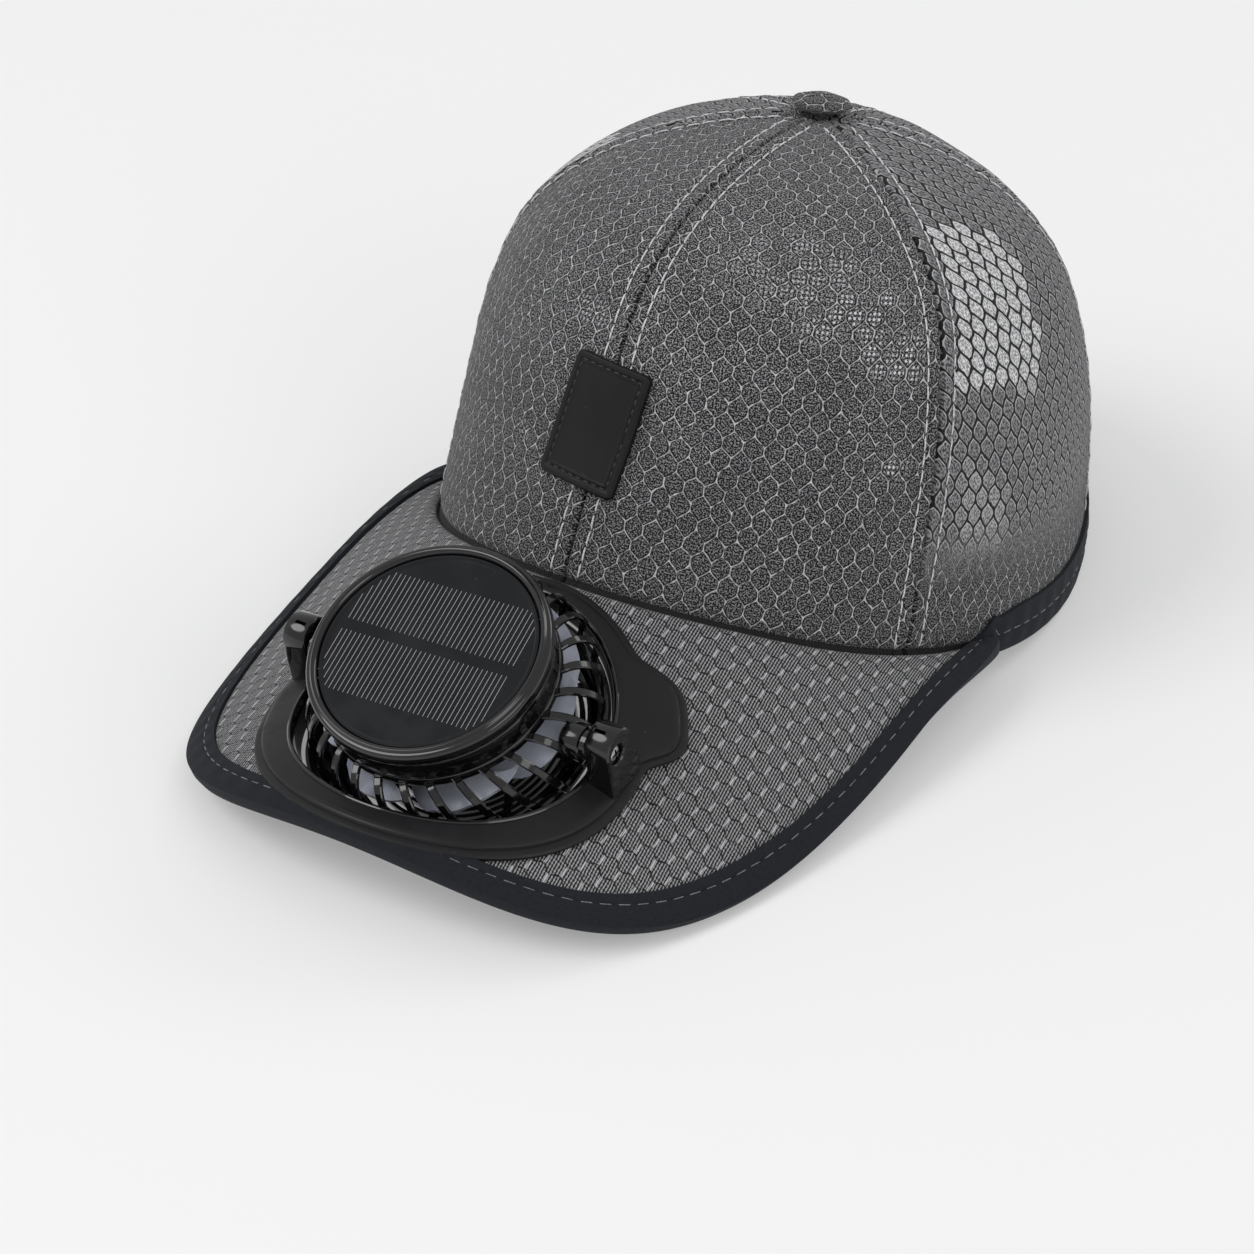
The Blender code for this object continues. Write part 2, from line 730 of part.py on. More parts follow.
def make_fan_guard(materials, parent):
    """A cage of curved ribs over a broad ring, with a few spokes below it."""
    radius, height = guard_profile()
    along = unit(np.stack([np.gradient(radius), np.gradient(height)], axis=-1))
    inner_radius = radius + along[:, 1] * GUARD_WALL
    inner_height = height - along[:, 0] * GUARD_WALL
    sector = math.tau / GUARD_RIBS
    starts = np.arange(GUARD_RIBS) * sector - sector * RIB_SHARE / 2
    angles = np.stack([starts, starts + sector * RIB_SHARE], axis=-1).ravel()

    def around(radii, heights):
        rows = [np.stack([radii * math.cos(a), radii * math.sin(a), heights], axis=-1) for a in angles]
        return np.stack(rows)

    ring = np.array(GUARD_SECTIONS["ring"])
    solid = np.tile(ring, (len(angles), 1))
    upper = np.arange(len(ring)) < np.argmax(ring[1:]) + 1
    solid[0::2] |= upper
    solid[0 :: 2 * GUARD_SPOKE_EVERY] = True
    bm = grid_shell(around(radius, height), around(inner_radius, inner_height), solid, wrap=True)
    finish(bm, "fan_guard", materials["gloss plastic"], parent)


def make_solar_head(materials, parent):
    """The housing with its motor and shaft, the solar panel in it and the rim round that."""
    bottom = GUARD_TOP + SEAT_GAP
    top = bottom + HOUSING_HEIGHT
    cavity = bottom + HOUSING_HEIGHT * 0.35
    profile = [
        (0, top),
        (HOUSING_RADIUS, top),
        (HOUSING_RADIUS, bottom),
        (HOUSING_RADIUS * 0.88, bottom),
        (HOUSING_RADIUS * 0.86, cavity),
        (MOTOR_RADIUS, cavity),
        (MOTOR_RADIUS, MOTOR_BOTTOM),
        (SHAFT_RADIUS, MOTOR_BOTTOM),
        (SHAFT_RADIUS, MOTOR_BOTTOM - SHAFT_REACH),
        (0, MOTOR_BOTTOM - SHAFT_REACH),
    ]
    finish(turned(profile, 36), "solar_housing", materials["gloss plastic"], parent)
    seat = top + SEAT_GAP
    rim_inner = RIM_RADIUS - RIM_WIDTH
    rim = [
        (rim_inner, seat + RIM_HEIGHT * 0.85),
        (rim_inner + RIM_WIDTH * 0.45, seat + RIM_HEIGHT),
        (RIM_RADIUS - RIM_WIDTH * 0.2, seat + RIM_HEIGHT * 0.9),
        (RIM_RADIUS, seat + RIM_HEIGHT * 0.55),
        (RIM_RADIUS - RIM_WIDTH * 0.2, seat),
        (rim_inner, seat),
    ]
    finish(turned(rim, 36, closed=True), "solar_rim", materials["gloss plastic"], parent)
    panel_radius = rim_inner - SEAT_GAP
    panel = [(0, seat + SOLAR_THICKNESS), (panel_radius, seat + SOLAR_THICKNESS), (panel_radius, seat), (0, seat)]
    finish(turned(panel, 36), "solar_panel", materials["solar cell"], parent)


def make_pivot_boss(name, side, materials, parent):
    """A short stub from the guard's ring to the lug, drilled for the screw."""
    near = GUARD_RADIUS + SEAT_GAP
    far = LUG_INNER_X - SEAT_GAP
    floor = far - SCREW_REACH - SEAT_GAP
    hole = SCREW_RADIUS + SEAT_GAP
    profile = [(0, floor), (hole, floor), (hole, far), (BOSS_RADIUS, far), (BOSS_RADIUS, near), (0, near)]
    boss = finish(turned(profile, 16), name, materials["gloss plastic"], parent)
    boss.rotation_euler = (0, side * math.pi / 2, 0)


def make_impeller(materials, parent):
    """A drilled hub with swept, pitched blades."""
    top = MOTOR_BOTTOM - 2 * SEAT_GAP
    bottom = top - HUB_HEIGHT
    bore_radius = SHAFT_RADIUS + SEAT_GAP
    bore_floor = MOTOR_BOTTOM - SHAFT_REACH - SEAT_GAP
    profile = [
        (0, bore_floor),
        (bore_radius, bore_floor),
        (bore_radius, top),
        (HUB_RADIUS, top),
        (HUB_RADIUS, bottom + HUB_HEIGHT * 0.2),
        (HUB_RADIUS * 0.85, bottom),
        (0, bottom),
    ]
    impeller = finish(turned(profile, 28), "impeller", materials["blade plastic"], parent)
    tip = GUARD_RADIUS - GUARD_WALL - BLADE_TIP_GAP
    reach = np.linspace(0, 1, 5)
    root = HUB_RADIUS * 0.9
    radii = root + (tip - root) * reach
    spread = BLADE_ROOT_SPREAD + (BLADE_TIP_SPREAD - BLADE_ROOT_SPREAD) * reach
    chord = math.tau / BLADE_COUNT * spread
    leading = BLADE_SWEEP * reach**1.5
    low = bottom + HUB_HEIGHT * (0.25 + 0.25 * reach)
    high = top - HUB_HEIGHT * 0.10 + BLADE_RISE * reach**0.7
    across = np.array([0.0, 0.5, 1.0])
    blades = bmesh.new()
    for index in range(BLADE_COUNT):
        turn = index * math.tau / BLADE_COUNT
        angle = turn + leading[:, None] + chord[:, None] * across
        height = low[:, None] + (high - low)[:, None] * across
        upper = np.stack([radii[:, None] * np.cos(angle), radii[:, None] * np.sin(angle), height], axis=-1)
        lower = upper - (0, 0, BLADE_THICKNESS)
        part = bpy.data.meshes.new("blade")
        bm = grid_shell(upper, lower)
        bmesh.ops.recalc_face_normals(bm, faces=bm.faces)
        bm.to_mesh(part)
        bm.free()
        blades.from_mesh(part)
        bpy.data.meshes.remove(part)
    joined = finish(blades, "impeller_blades", materials["blade plastic"], parent)
    hide(joined)
    cut(impeller, joined, "UNION")


# Frames and placing


def make_empty(name, parent, size):
    empty = bpy.data.objects.new(name, None)
    empty.empty_display_size = size
    bpy.context.collection.objects.link(empty)
    empty.parent = parent
    return empty


def solid_points():
    """World points of every piece, as a render shows them."""
    bpy.context.view_layer.update()
    graph = bpy.context.evaluated_depsgraph_get()
    clouds = []
    for obj in bpy.context.scene.objects:
        if obj.type != "MESH" or obj.hide_render:
            continue
        evaluated = obj.evaluated_get(graph)
        points = np.array([vertex.co for vertex in evaluated.data.vertices])
        matrix = np.array(evaluated.matrix_world)
        clouds.append(points @ matrix[:3, :3].T + matrix[:3, 3])
    return np.concatenate(clouds)


def resting_pitch(points):
    """Slope of the line under the cap that touches it ahead of its weight and behind."""
    balance = -HEM_HALF_LENGTH / 2
    ahead = points[points[:, 1] < balance]
    behind = points[points[:, 1] >= balance]
    flat, steep = -1.0, 1.0
    for _ in range(50):
        slope = (flat + steep) / 2
        gap = (behind[:, 2] - slope * behind[:, 1]).min() - (ahead[:, 2] - slope * ahead[:, 1]).min()
        flat, steep = (slope, steep) if gap > 0 else (flat, slope)
    return math.atan(slope)


def set_down(hat_frame):
    """Leans the cap back as it rests, and puts the middle of its footprint at the origin."""
    hat_frame.rotation_euler.x = -resting_pitch(solid_points())
    points = solid_points()
    low, high = points.min(axis=0), points.max(axis=0)
    hat_frame.location = (-(low[0] + high[0]) / 2, -(low[1] + high[1]) / 2, -low[2])
    bpy.context.view_layer.update()


def clear_scene():
    for obj in list(bpy.data.objects):
        bpy.data.objects.remove(obj)


def build():
    clear_scene()
    materials = make_materials()
    hat_frame = make_empty("hat_frame", None, HEM_HALF_WIDTH)
    make_crown(materials, hat_frame)
    make_crown_button(materials, hat_frame)
    make_peak(materials, hat_frame)
    make_peak_binding(materials, hat_frame)
    make_hem_binding(materials, hat_frame)
    make_label_patch(materials, hat_frame)
    make_mounts(materials, hat_frame)
    tilt_axis = make_empty("fan_tilt_axis", hat_frame, GUARD_RADIUS)
    tilt_axis.location = pivot_point()
    tilt_axis.rotation_euler.x = HEAD_SLOPE
    make_fan_guard(materials, tilt_axis)
    make_solar_head(materials, tilt_axis)
    for side, place in ((1, "left"), (-1, "right")):
        make_pivot_boss(f"pivot_boss_{place}", side, materials, tilt_axis)
    spin_axis = make_empty("impeller_axis", tilt_axis, HUB_RADIUS)
    make_impeller(materials, spin_axis)
    set_down(hat_frame)


build()
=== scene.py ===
import json
import math

import bmesh
import bpy
import numpy as np
from mathutils import Matrix, Vector
from mathutils.geometry import interpolate_bezier


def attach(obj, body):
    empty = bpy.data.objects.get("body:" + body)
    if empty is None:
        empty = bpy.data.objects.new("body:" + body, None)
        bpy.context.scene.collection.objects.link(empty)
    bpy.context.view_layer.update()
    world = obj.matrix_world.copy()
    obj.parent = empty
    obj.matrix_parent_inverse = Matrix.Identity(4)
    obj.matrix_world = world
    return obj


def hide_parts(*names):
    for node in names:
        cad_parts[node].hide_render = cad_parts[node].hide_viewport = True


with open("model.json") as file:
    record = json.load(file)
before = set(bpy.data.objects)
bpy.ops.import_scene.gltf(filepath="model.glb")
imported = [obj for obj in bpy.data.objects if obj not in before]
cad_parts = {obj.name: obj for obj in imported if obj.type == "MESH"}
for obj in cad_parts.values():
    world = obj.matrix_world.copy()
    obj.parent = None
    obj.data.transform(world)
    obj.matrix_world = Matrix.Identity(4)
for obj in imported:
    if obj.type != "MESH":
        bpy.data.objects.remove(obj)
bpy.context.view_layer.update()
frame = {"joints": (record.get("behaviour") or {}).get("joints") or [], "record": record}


# Frames

# The hat's own frame has its origin in the middle of the crown's hem, the peak to -Y and the button
# to +Z. The head's frame has Z along the fan's axis and X along the pivots.

opening = next(m for m in frame["record"]["mounts"] if m["name"] == "head_opening")
tilt = next(j for j in frame["joints"] if j["name"] == "fan_tilt")
spin = next(j for j in frame["joints"] if j["name"] == "impeller_spin")


def frameAt(place, upward):
    turn = Vector((0, 0, 1)).rotation_difference(Vector(upward)).to_matrix().to_4x4()
    return Matrix.Translation(Vector(place)) @ turn


hatFrame = frameAt(opening["pos_m"], [-value for value in opening["axis"]])
headFrame = frameAt(tilt["pos_m"], spin["axis"])

# Camera

camera = {
    "azimuth": 30.63,  # degrees
    "elevation": 24.68,
    "roll": 5.22,
    "distance": 0.9652,
    "aside": -0.0382,
    "raised": -0.0434,
    "lens": 103.05,
}


def makeCamera():
    azimuth, elevation, roll = (math.radians(camera[key]) for key in ("azimuth", "elevation", "roll"))
    level = math.cos(elevation)
    back = Vector((math.sin(azimuth) * level, -math.cos(azimuth) * level, math.sin(elevation)))
    right = Vector((math.cos(azimuth), math.sin(azimuth), 0))
    up = back.cross(right)
    across = right * math.cos(roll) + up * math.sin(roll)
    above = up * math.cos(roll) - right * math.sin(roll)
    place = back * camera["distance"] + across * camera["aside"] + above * camera["raised"]
    axes = Matrix((across, above, back)).transposed().to_4x4()
    made = bpy.data.objects.new("camera", bpy.data.cameras.new("camera"))
    made.data.lens = camera["lens"]
    made.data.clip_start = 0.05
    bpy.context.scene.collection.objects.link(made)
    made.matrix_world = hatFrame @ Matrix.Translation(place) @ axes
    bpy.context.scene.camera = made


makeCamera()
print("camera set")


# Node helpers


def feed(tree, socket, value):
    if isinstance(value, bpy.types.NodeSocket):
        tree.links.new(value, socket)
    else:
        socket.default_value = value


def addNode(tree, kind, values=None, **settings):
    made = tree.nodes.new("ShaderNode" + kind)
    for key, value in settings.items():
        setattr(made, key, value)
    for socket, value in (values or {}).items():
        feed(tree, made.inputs[socket], value)
    return made


def calc(tree, operation, *values):
    return addNode(tree, "Math", dict(enumerate(values)), operation=operation).outputs[0]


def times(tree, value, *others):
    for other in others:
        value = calc(tree, "MULTIPLY", value, other)
    return value


def vector(tree, operation, *values):
    made = addNode(tree, "VectorMath", dict(enumerate(values)), operation=operation)
    return made.outputs["Value" if operation in ("LENGTH", "DOT_PRODUCT") else "Vector"]


def split(tree, value):
    return addNode(tree, "SeparateXYZ", {0: value}).outputs


def joined(tree, x, y):
    return addNode(tree, "CombineXYZ", {0: x, 1: y}).outputs[0]


# Start below low, end above high and a soft climb between them
def spread(tree, value, low, high, start=0.0, end=1.0):
    values = {"Value": value, "From Min": low, "From Max": high, "To Min": start, "To Max": end}
    return addNode(tree, "MapRange", values, interpolation_type="SMOOTHSTEP").outputs[0]


# A band that climbs over the first pair of places and falls over the second
def between(tree, value, rise, fall, start=0.0):
    return times(tree, spread(tree, value, *rise, start), spread(tree, value, *fall, 1.0, 0.0))


def mixed(tree, share, first, second):
    made = addNode(tree, "Mix", data_type="RGBA")
    for socket, value in ((0, share), (6, first), (7, second)):
        feed(tree, made.inputs[socket], (*value, 1) if isinstance(value, tuple) else value)
    return made.outputs[2]


def noise(tree, place, scale, detail=2.0, roughness=0.5):
    values = {"Vector": place, "Scale": scale, "Detail": detail, "Roughness": roughness}
    return addNode(tree, "TexNoise", values).outputs["Fac"]


def bumped(tree, height, distance, strength=1.0):
    values = {"Height": height, "Distance": distance, "Strength": strength}
    return addNode(tree, "Bump", values).outputs["Normal"]


def newGroup(name, inputs, outputs):
    group = bpy.data.node_groups.new(name, "ShaderNodeTree")
    for label, kind, value in inputs:
        socket = group.interface.new_socket(label, in_out="INPUT", socket_type="NodeSocket" + kind)
        if value is not None:
            socket.default_value = value
    for label, kind in outputs:
        group.interface.new_socket(label, in_out="OUTPUT", socket_type="NodeSocket" + kind)
    entry = group.nodes.new("NodeGroupInput")
    leave = group.nodes.new("NodeGroupOutput")
    return group, entry.outputs, leave.inputs


def useGroup(tree, group, values):
    made = addNode(tree, "Group", node_tree=group)
    for socket, value in values.items():
        feed(tree, made.inputs[socket], value)
    return made.outputs


# Shared effects


# Rounded cells in staggered rows, pointed towards +Y. Round runs from 0.5 in a cell's middle to 0
# at its edge, Upright marks the upright sides, Above is the height over the cell's middle.
def makeHoneycomb():
    tall = math.sqrt(0.75)
    group, given, out = newGroup(
        "honeycomb",
        [
            ("Place", "Vector", None),
            ("Cell Width", "Float", 0.005),
            ("Row Pitch", "Float", 0.0044),
            ("Wobble", "Float", 0.001),
            ("Side", "Float", 0.577),  # length of an upright side, as a share of the width
            ("Roundness", "Float", 0.05),
        ],
        [("Round", "Float"), ("Upright", "Float"), ("Above", "Float"), ("Centre", "Vector")],
    )
    values = {"Vector": given["Place"], "Scale": 230.0, "Detail": 1.0}
    wander = addNode(group, "TexNoise", values).outputs["Color"]
    shift = vector(group, "SUBTRACT", wander, (0.5, 0.5, 0.5))
    values = {0: shift, "Scale": given["Wobble"]}
    shift = addNode(group, "VectorMath", values, operation="SCALE").outputs[0]
    spot = split(group, vector(group, "ADD", given["Place"], shift))
    x = calc(group, "DIVIDE", spot[0], given["Cell Width"])
    y = times(group, calc(group, "DIVIDE", spot[1], given["Row Pitch"]), tall)
    cell = joined(group, x, y)
    high = (0.5, tall, 0.5)
    low = tuple(-value for value in high)
    first = vector(group, "WRAP", cell, high, low)
    second = vector(group, "WRAP", vector(group, "SUBTRACT", cell, (0.5, tall, 0)), high, low)
    rise = calc(group, "SUBTRACT", tall, given["Side"])
    halfHeight = calc(group, "MULTIPLY_ADD", given["Side"], -0.5, tall)
    sharp, soft = [], []
    for middle in (first, second):
        size = split(group, vector(group, "ABSOLUTE", middle))
        slanted = calc(group, "MULTIPLY_ADD", times(group, size[0], rise), 2.0, size[1])
        slanted = calc(group, "DIVIDE", times(group, slanted, 0.5), halfHeight)
        sharp.append(calc(group, "MAXIMUM", size[0], slanted))
        soft.append(calc(group, "SMOOTH_MAX", size[0], slanted, given["Roundness"]))
    chosen = addNode(group, "Mix", data_type="VECTOR")
    for socket, value in ((0, calc(group, "LESS_THAN", *sharp)), (4, second), (5, first)):
        feed(group, chosen.inputs[socket], value)
    offset = chosen.outputs[1]
    rounded = calc(group, "SUBTRACT", 0.5, calc(group, "MINIMUM", *soft))
    lumps = calc(group, "SUBTRACT", noise(group, given["Place"], 800.0, 1.0), 0.5)
    feed(group, out["Round"], calc(group, "ADD", rounded, times(group, lumps, 0.09)))
    size = split(group, vector(group, "ABSOLUTE", offset))
    nearSide = spread(group, calc(group, "SUBTRACT", 0.5, size[0]), 0.045, 0.075, 1.0, 0.0)
    feed(group, out["Upright"], times(group, nearSide, spread(group, size[1], 0.31, 0.40, 1.0, 0.0)))
    feed(group, out["Above"], split(group, offset)[1])
    middle = split(group, vector(group, "SUBTRACT", cell, offset))
    centreX = times(group, middle[0], given["Cell Width"])
    centreY = times(group, calc(group, "DIVIDE", middle[1], tall), given["Row Pitch"])
    feed(group, out["Centre"], joined(group, centreX, centreY))
    return group


# Two sets of threads that cross each other
def makeThreads():
    group, given, out = newGroup(
        "threads",
        [("Place", "Vector", None), ("Thread", "Float", 0.0005)],
        [("Height", "Float"), ("Shade", "Float")],
    )
    waves = []
    for along in split(group, given["Place"])[:2]:
        phase = times(group, calc(group, "DIVIDE", along, given["Thread"]), math.pi)
        waves.append(calc(group, "ABSOLUTE", calc(group, "SINE", phase)))
    over = calc(group, "MAXIMUM", *waves)
    fibre = noise(group, given["Place"], 900.0, 2.0)
    feed(group, out["Height"], over)
    feed(group, out["Shade"], calc(group, "MULTIPLY_ADD", over, 0.6, times(group, fibre, 0.4)))
    return group


# Smudges, rare specks of dust and fine grain
def makeHandling():
    group, given, out = newGroup(
        "handling",
        [("Place", "Vector", None), ("Dust Scale", "Float", 90.0), ("Grain Scale", "Float", 2500.0)],
        [("Smudge", "Float"), ("Speck", "Float"), ("Grain", "Float")],
    )
    cloud = noise(group, given["Place"], given["Dust Scale"], 4.0, 0.6)
    feed(group, out["Smudge"], spread(group, cloud, 0.35, 0.7))
    values = {"Vector": given["Place"], "Scale": 420.0}
    flecks = addNode(group, "TexVoronoi", values).outputs["Distance"]
    rare = spread(group, noise(group, given["Place"], 160.0, 1.0), 0.6, 0.72)
    feed(group, out["Speck"], times(group, spread(group, flecks, 0.16, 0.06), rare))
    feed(group, out["Grain"], noise(group, given["Place"], given["Grain Scale"], 3.0, 0.7))
    return group


honeycomb = makeHoneycomb()
threads = makeThreads()
handling = makeHandling()
print("shared effects made")


# Materials


def newMaterial(name, settings):
    made = bpy.data.materials.new(name)
    made.use_nodes = True
    shader = made.node_tree.nodes["Principled BSDF"]
    for label, value in settings.items():
        shader.inputs[label].default_value = value
    return made, made.node_tree, shader.inputs


def clothPlace(tree):
    return addNode(tree, "Attribute", attribute_name="clothPlace").outputs["Vector"]


def objectPlace(tree):
    return addNode(tree, "TexCoord").outputs["Object"]


# The honeycomb at a place, for a cell of the given width, row pitch and upright side
def cellsAt(tree, place, cell, cloth):
    values = dict(zip(("Cell Width", "Row Pitch", "Side"), cell))
    values.update({"Place": place, "Wobble": cloth["wobble"], "Roundness": cloth["roundness"]})
    return useGroup(tree, honeycomb, values)


meshCloth = {
    "frontCell": (0.0051, 0.0044, 0.44),  # width, row pitch, and upright side as a share of the width
    "sideCell": (0.0046, 0.0044, 0.36),
    "wobble": 0.0013,
    "roundness": 0.16,
    "yarnScale": 2400.0,
    # places across a cell, from its edge inwards, between which each band rises and falls
    "outline": ((-0.090, -0.050), (0.012, 0.036)),
    "shadow": ((0.024, 0.036), (0.060, 0.110)),
    "glint": ((0.070, 0.082), (0.100, 0.140)),
    "grooveWidth": 0.062,
    "backlitWider": 0.008,  # how much wider the groove is where light seen through the thin cloth is painted
    "edgeRow": (0.014, 0.034),  # heights between which the side's outlines turn from pale to dark
    "dotPitch": (0.00125, 0.00138, 1.0),
    "relief": 0.0009,
    "dark": (0.005, 0.005, 0.006),
    "light": (0.300, 0.300, 0.307),
    "line": (0.640, 0.640, 0.650),
    "dot": (0.780, 0.780, 0.800),
    "groove": (0.014, 0.014, 0.015),
    "smoothDark": (0.045, 0.045, 0.047),
    "smoothLight": (0.300, 0.300, 0.308),
    # painted light: the fill of the thin cloth, paler for the light seen through it
    "backlitDark": (0.280, 0.280, 0.288),
    "backlitLight": (0.860, 0.860, 0.870),
    # corners of the areas with bright dots, and with thin cloth that is painted paler for the light seen through it,
    # counterclockwise
    "dotted": (
        ((-0.024, 0.082), (0.034, 0.060), (0.036, 0.072), (0.024, 0.089), (-0.001, 0.104), (-0.023, 0.101)),
        ((0.026, 0.041), (0.035, 0.040), (0.036, 0.047), (0.027, 0.048)),
        ((-0.031, 0.035), (-0.022, 0.034), (-0.021, 0.044), (-0.030, 0.045)),
    ),
    # the thin cloth, painted paler for the light seen through it
    "thin": (
        (-0.0331, 0.0691), (-0.0072, 0.0654), (0.0006, 0.0790),
        (0.0085, 0.1075), (-0.0110, 0.1135), (-0.0186, 0.1024),
    ),
    "halfBacklit": ((-0.0398, 0.0234), (-0.0165, 0.0210), (-0.0177, 0.0420), (-0.0395, 0.0555)),
    "halfBacklitShare": 0.34,
}


# How far a place lies inside an area with no hollows in its outline
def insideArea(tree, place, corners):
    inside = None
    for first, second in zip(corners, corners[1:] + corners[:1]):
        edge = Vector(second) - Vector(first)
        across = Vector((-edge.y, edge.x, 0)).normalized()
        along = vector(tree, "DOT_PRODUCT", place, tuple(across))
        reach = calc(tree, "SUBTRACT", along, across.dot(Vector((*first, 0))))
        inside = reach if inside is None else calc(tree, "MINIMUM", inside, reach)
    return inside


# The side's cloth above its lowest rows: smooth cells parted by dark grooves, with painted light seen through the
# thin cloth in two areas
def smoothCells(tree, place, height, cell, fill, ring, relief):
    cloth = meshCloth
    nearEdge = spread(tree, height, *cloth["edgeRow"], 1.0, 0.0)
    # Painted light: where the cloth is thin its cells get a paler fill for the light seen through it
    thin = spread(tree, insideArea(tree, cell["Centre"], cloth["thin"]), -0.0003, 0.0003)
    halfBacklit = spread(tree, insideArea(tree, cell["Centre"], cloth["halfBacklit"]), 0.0, 0.006)
    thin = calc(tree, "MAXIMUM", thin, times(tree, halfBacklit, cloth["halfBacklitShare"]))
    stretched = vector(tree, "MULTIPLY", place, (1.0, 0.5, 1.0))
    grain = spread(tree, noise(tree, stretched, 2500.0, 1.0), 0.40, 0.60)
    smooth = mixed(tree, grain, cloth["smoothDark"], cloth["smoothLight"])
    pale = mixed(tree, grain, cloth["backlitDark"], cloth["backlitLight"])
    fill = mixed(tree, nearEdge, mixed(tree, thin, smooth, pale), fill)
    width = calc(tree, "MULTIPLY_ADD", thin, cloth["backlitWider"], cloth["grooveWidth"])
    groove = spread(tree, calc(tree, "SUBTRACT", cell["Round"], width), -0.012, 0.012, 1.0, 0.0)
    groove = times(tree, groove, calc(tree, "SUBTRACT", 1.0, nearEdge))
    fill = mixed(tree, groove, fill, cloth["groove"])
    glint = between(tree, cell["Round"], *cloth["glint"])
    glint = times(tree, glint, spread(tree, cell["Above"], -0.30, 0.25, 0.25, 0.9))
    return fill, mixed(tree, nearEdge, glint, ring), calc(tree, "SUBTRACT", relief, groove)


# Bright dots within the front's cells, in the given areas and here and there elsewhere
def brightDots(tree, place, cell):
    half = (0.5, 0.5, 0.5)
    grid = vector(tree, "DIVIDE", place, meshCloth["dotPitch"])
    grid = vector(tree, "WRAP", grid, half, tuple(-value for value in half))
    spots = spread(tree, vector(tree, "LENGTH", grid), 0.20, 0.34, 1.0, 0.0)
    area = None
    for corners in meshCloth["dotted"]:
        reach = insideArea(tree, place, corners)
        area = reach if area is None else calc(tree, "MAXIMUM", area, reach)
    cloudy = spread(tree, noise(tree, place, 110.0, 1.0), 0.40, 0.58, 0.12, 1.0)
    stronger = spread(tree, split(tree, place)[0], -0.020, 0.028, 0.35, 1.0)
    patches = times(tree, spread(tree, area, -0.002, 0.004), cloudy, stronger)
    elsewhere = spread(tree, noise(tree, place, 48.0, 2.0), 0.66, 0.74, 0.0, 0.5)
    patches = calc(tree, "MAXIMUM", patches, elsewhere)
    return times(tree, spots, times(tree, patches, spread(tree, cell["Round"], 0.10, 0.16)))


def makeMeshCloth(name, size, isSide):
    settings = {"Roughness": 0.85, "Specular IOR Level": 0.2, "Sheen Weight": 0.08, "Sheen Roughness": 0.5}
    made, tree, inputs = newMaterial(name, settings)
    cloth = meshCloth
    place = clothPlace(tree)
    height = split(tree, place)[1]
    cell = cellsAt(tree, place, size, cloth)
    yarn = spread(tree, noise(tree, place, cloth["yarnScale"], 1.0), 0.46, 0.58)
    # Painted light: the fill grows lighter up the panel, mixed with tone that differs at random
    toneAndTopLight = calc(tree, "MULTIPLY_ADD", height, 5.0, noise(tree, place, 60.0, 2.0))
    lightness = times(tree, yarn, spread(tree, toneAndTopLight, 0.55, 1.05, 0.72, 1.0))
    fill = mixed(tree, lightness, cloth["dark"], cloth["light"])
    ring = between(tree, cell["Round"], *cloth["outline"], 0.5)
    ring = times(tree, ring, spread(tree, noise(tree, place, 420.0, 2.0), 0.28, 0.62, 0.5, 1.0))
    shadow = between(tree, cell["Round"], *cloth["shadow"])
    shadow = times(tree, shadow, spread(tree, cell["Above"], 0.20, -0.20, 0.25, 0.85))
    fill = mixed(tree, shadow, fill, cloth["dark"])
    relief = calc(tree, "MULTIPLY_ADD", yarn, 0.22, times(tree, ring, 0.8))
    if isSide:
        fill, ring, relief = smoothCells(tree, place, height, cell, fill, ring, relief)
    colour = mixed(tree, ring, fill, cloth["line"])
    if not isSide:
        colour = mixed(tree, brightDots(tree, place, cell), colour, cloth["dot"])
    # Painted shadow: the cloth's lowest edge, where it rolls in over the peak, is darkened with the groove colour
    hemShadow = spread(tree, height, 0.0, 0.0002, 1.0, 0.0)
    feed(tree, inputs["Base Color"], mixed(tree, hemShadow, colour, cloth["groove"]))
    feed(tree, inputs["Normal"], bumped(tree, relief, cloth["relief"]))
    return made


peakCloth = {
    "cell": (0.0052, 0.0047, 0.52),
    "wobble": 0.0005,
    "roundness": 0.06,
    "hatchPitch": 0.00078,
    "hatchLean": 0.16,
    "knotPitch": 0.0010,
    "strandPitch": 0.00056,
    "relief": 0.0004,
    "dark": (0.012, 0.012, 0.013),
    "light": (0.320, 0.320, 0.328),
    "line": (0.004, 0.004, 0.0045),
    "dash": (0.520, 0.520, 0.535),
    "sewn": (0.003, 0.003, 0.0035),  # the painted contact shadow in the crease where the crown meets the peak
}


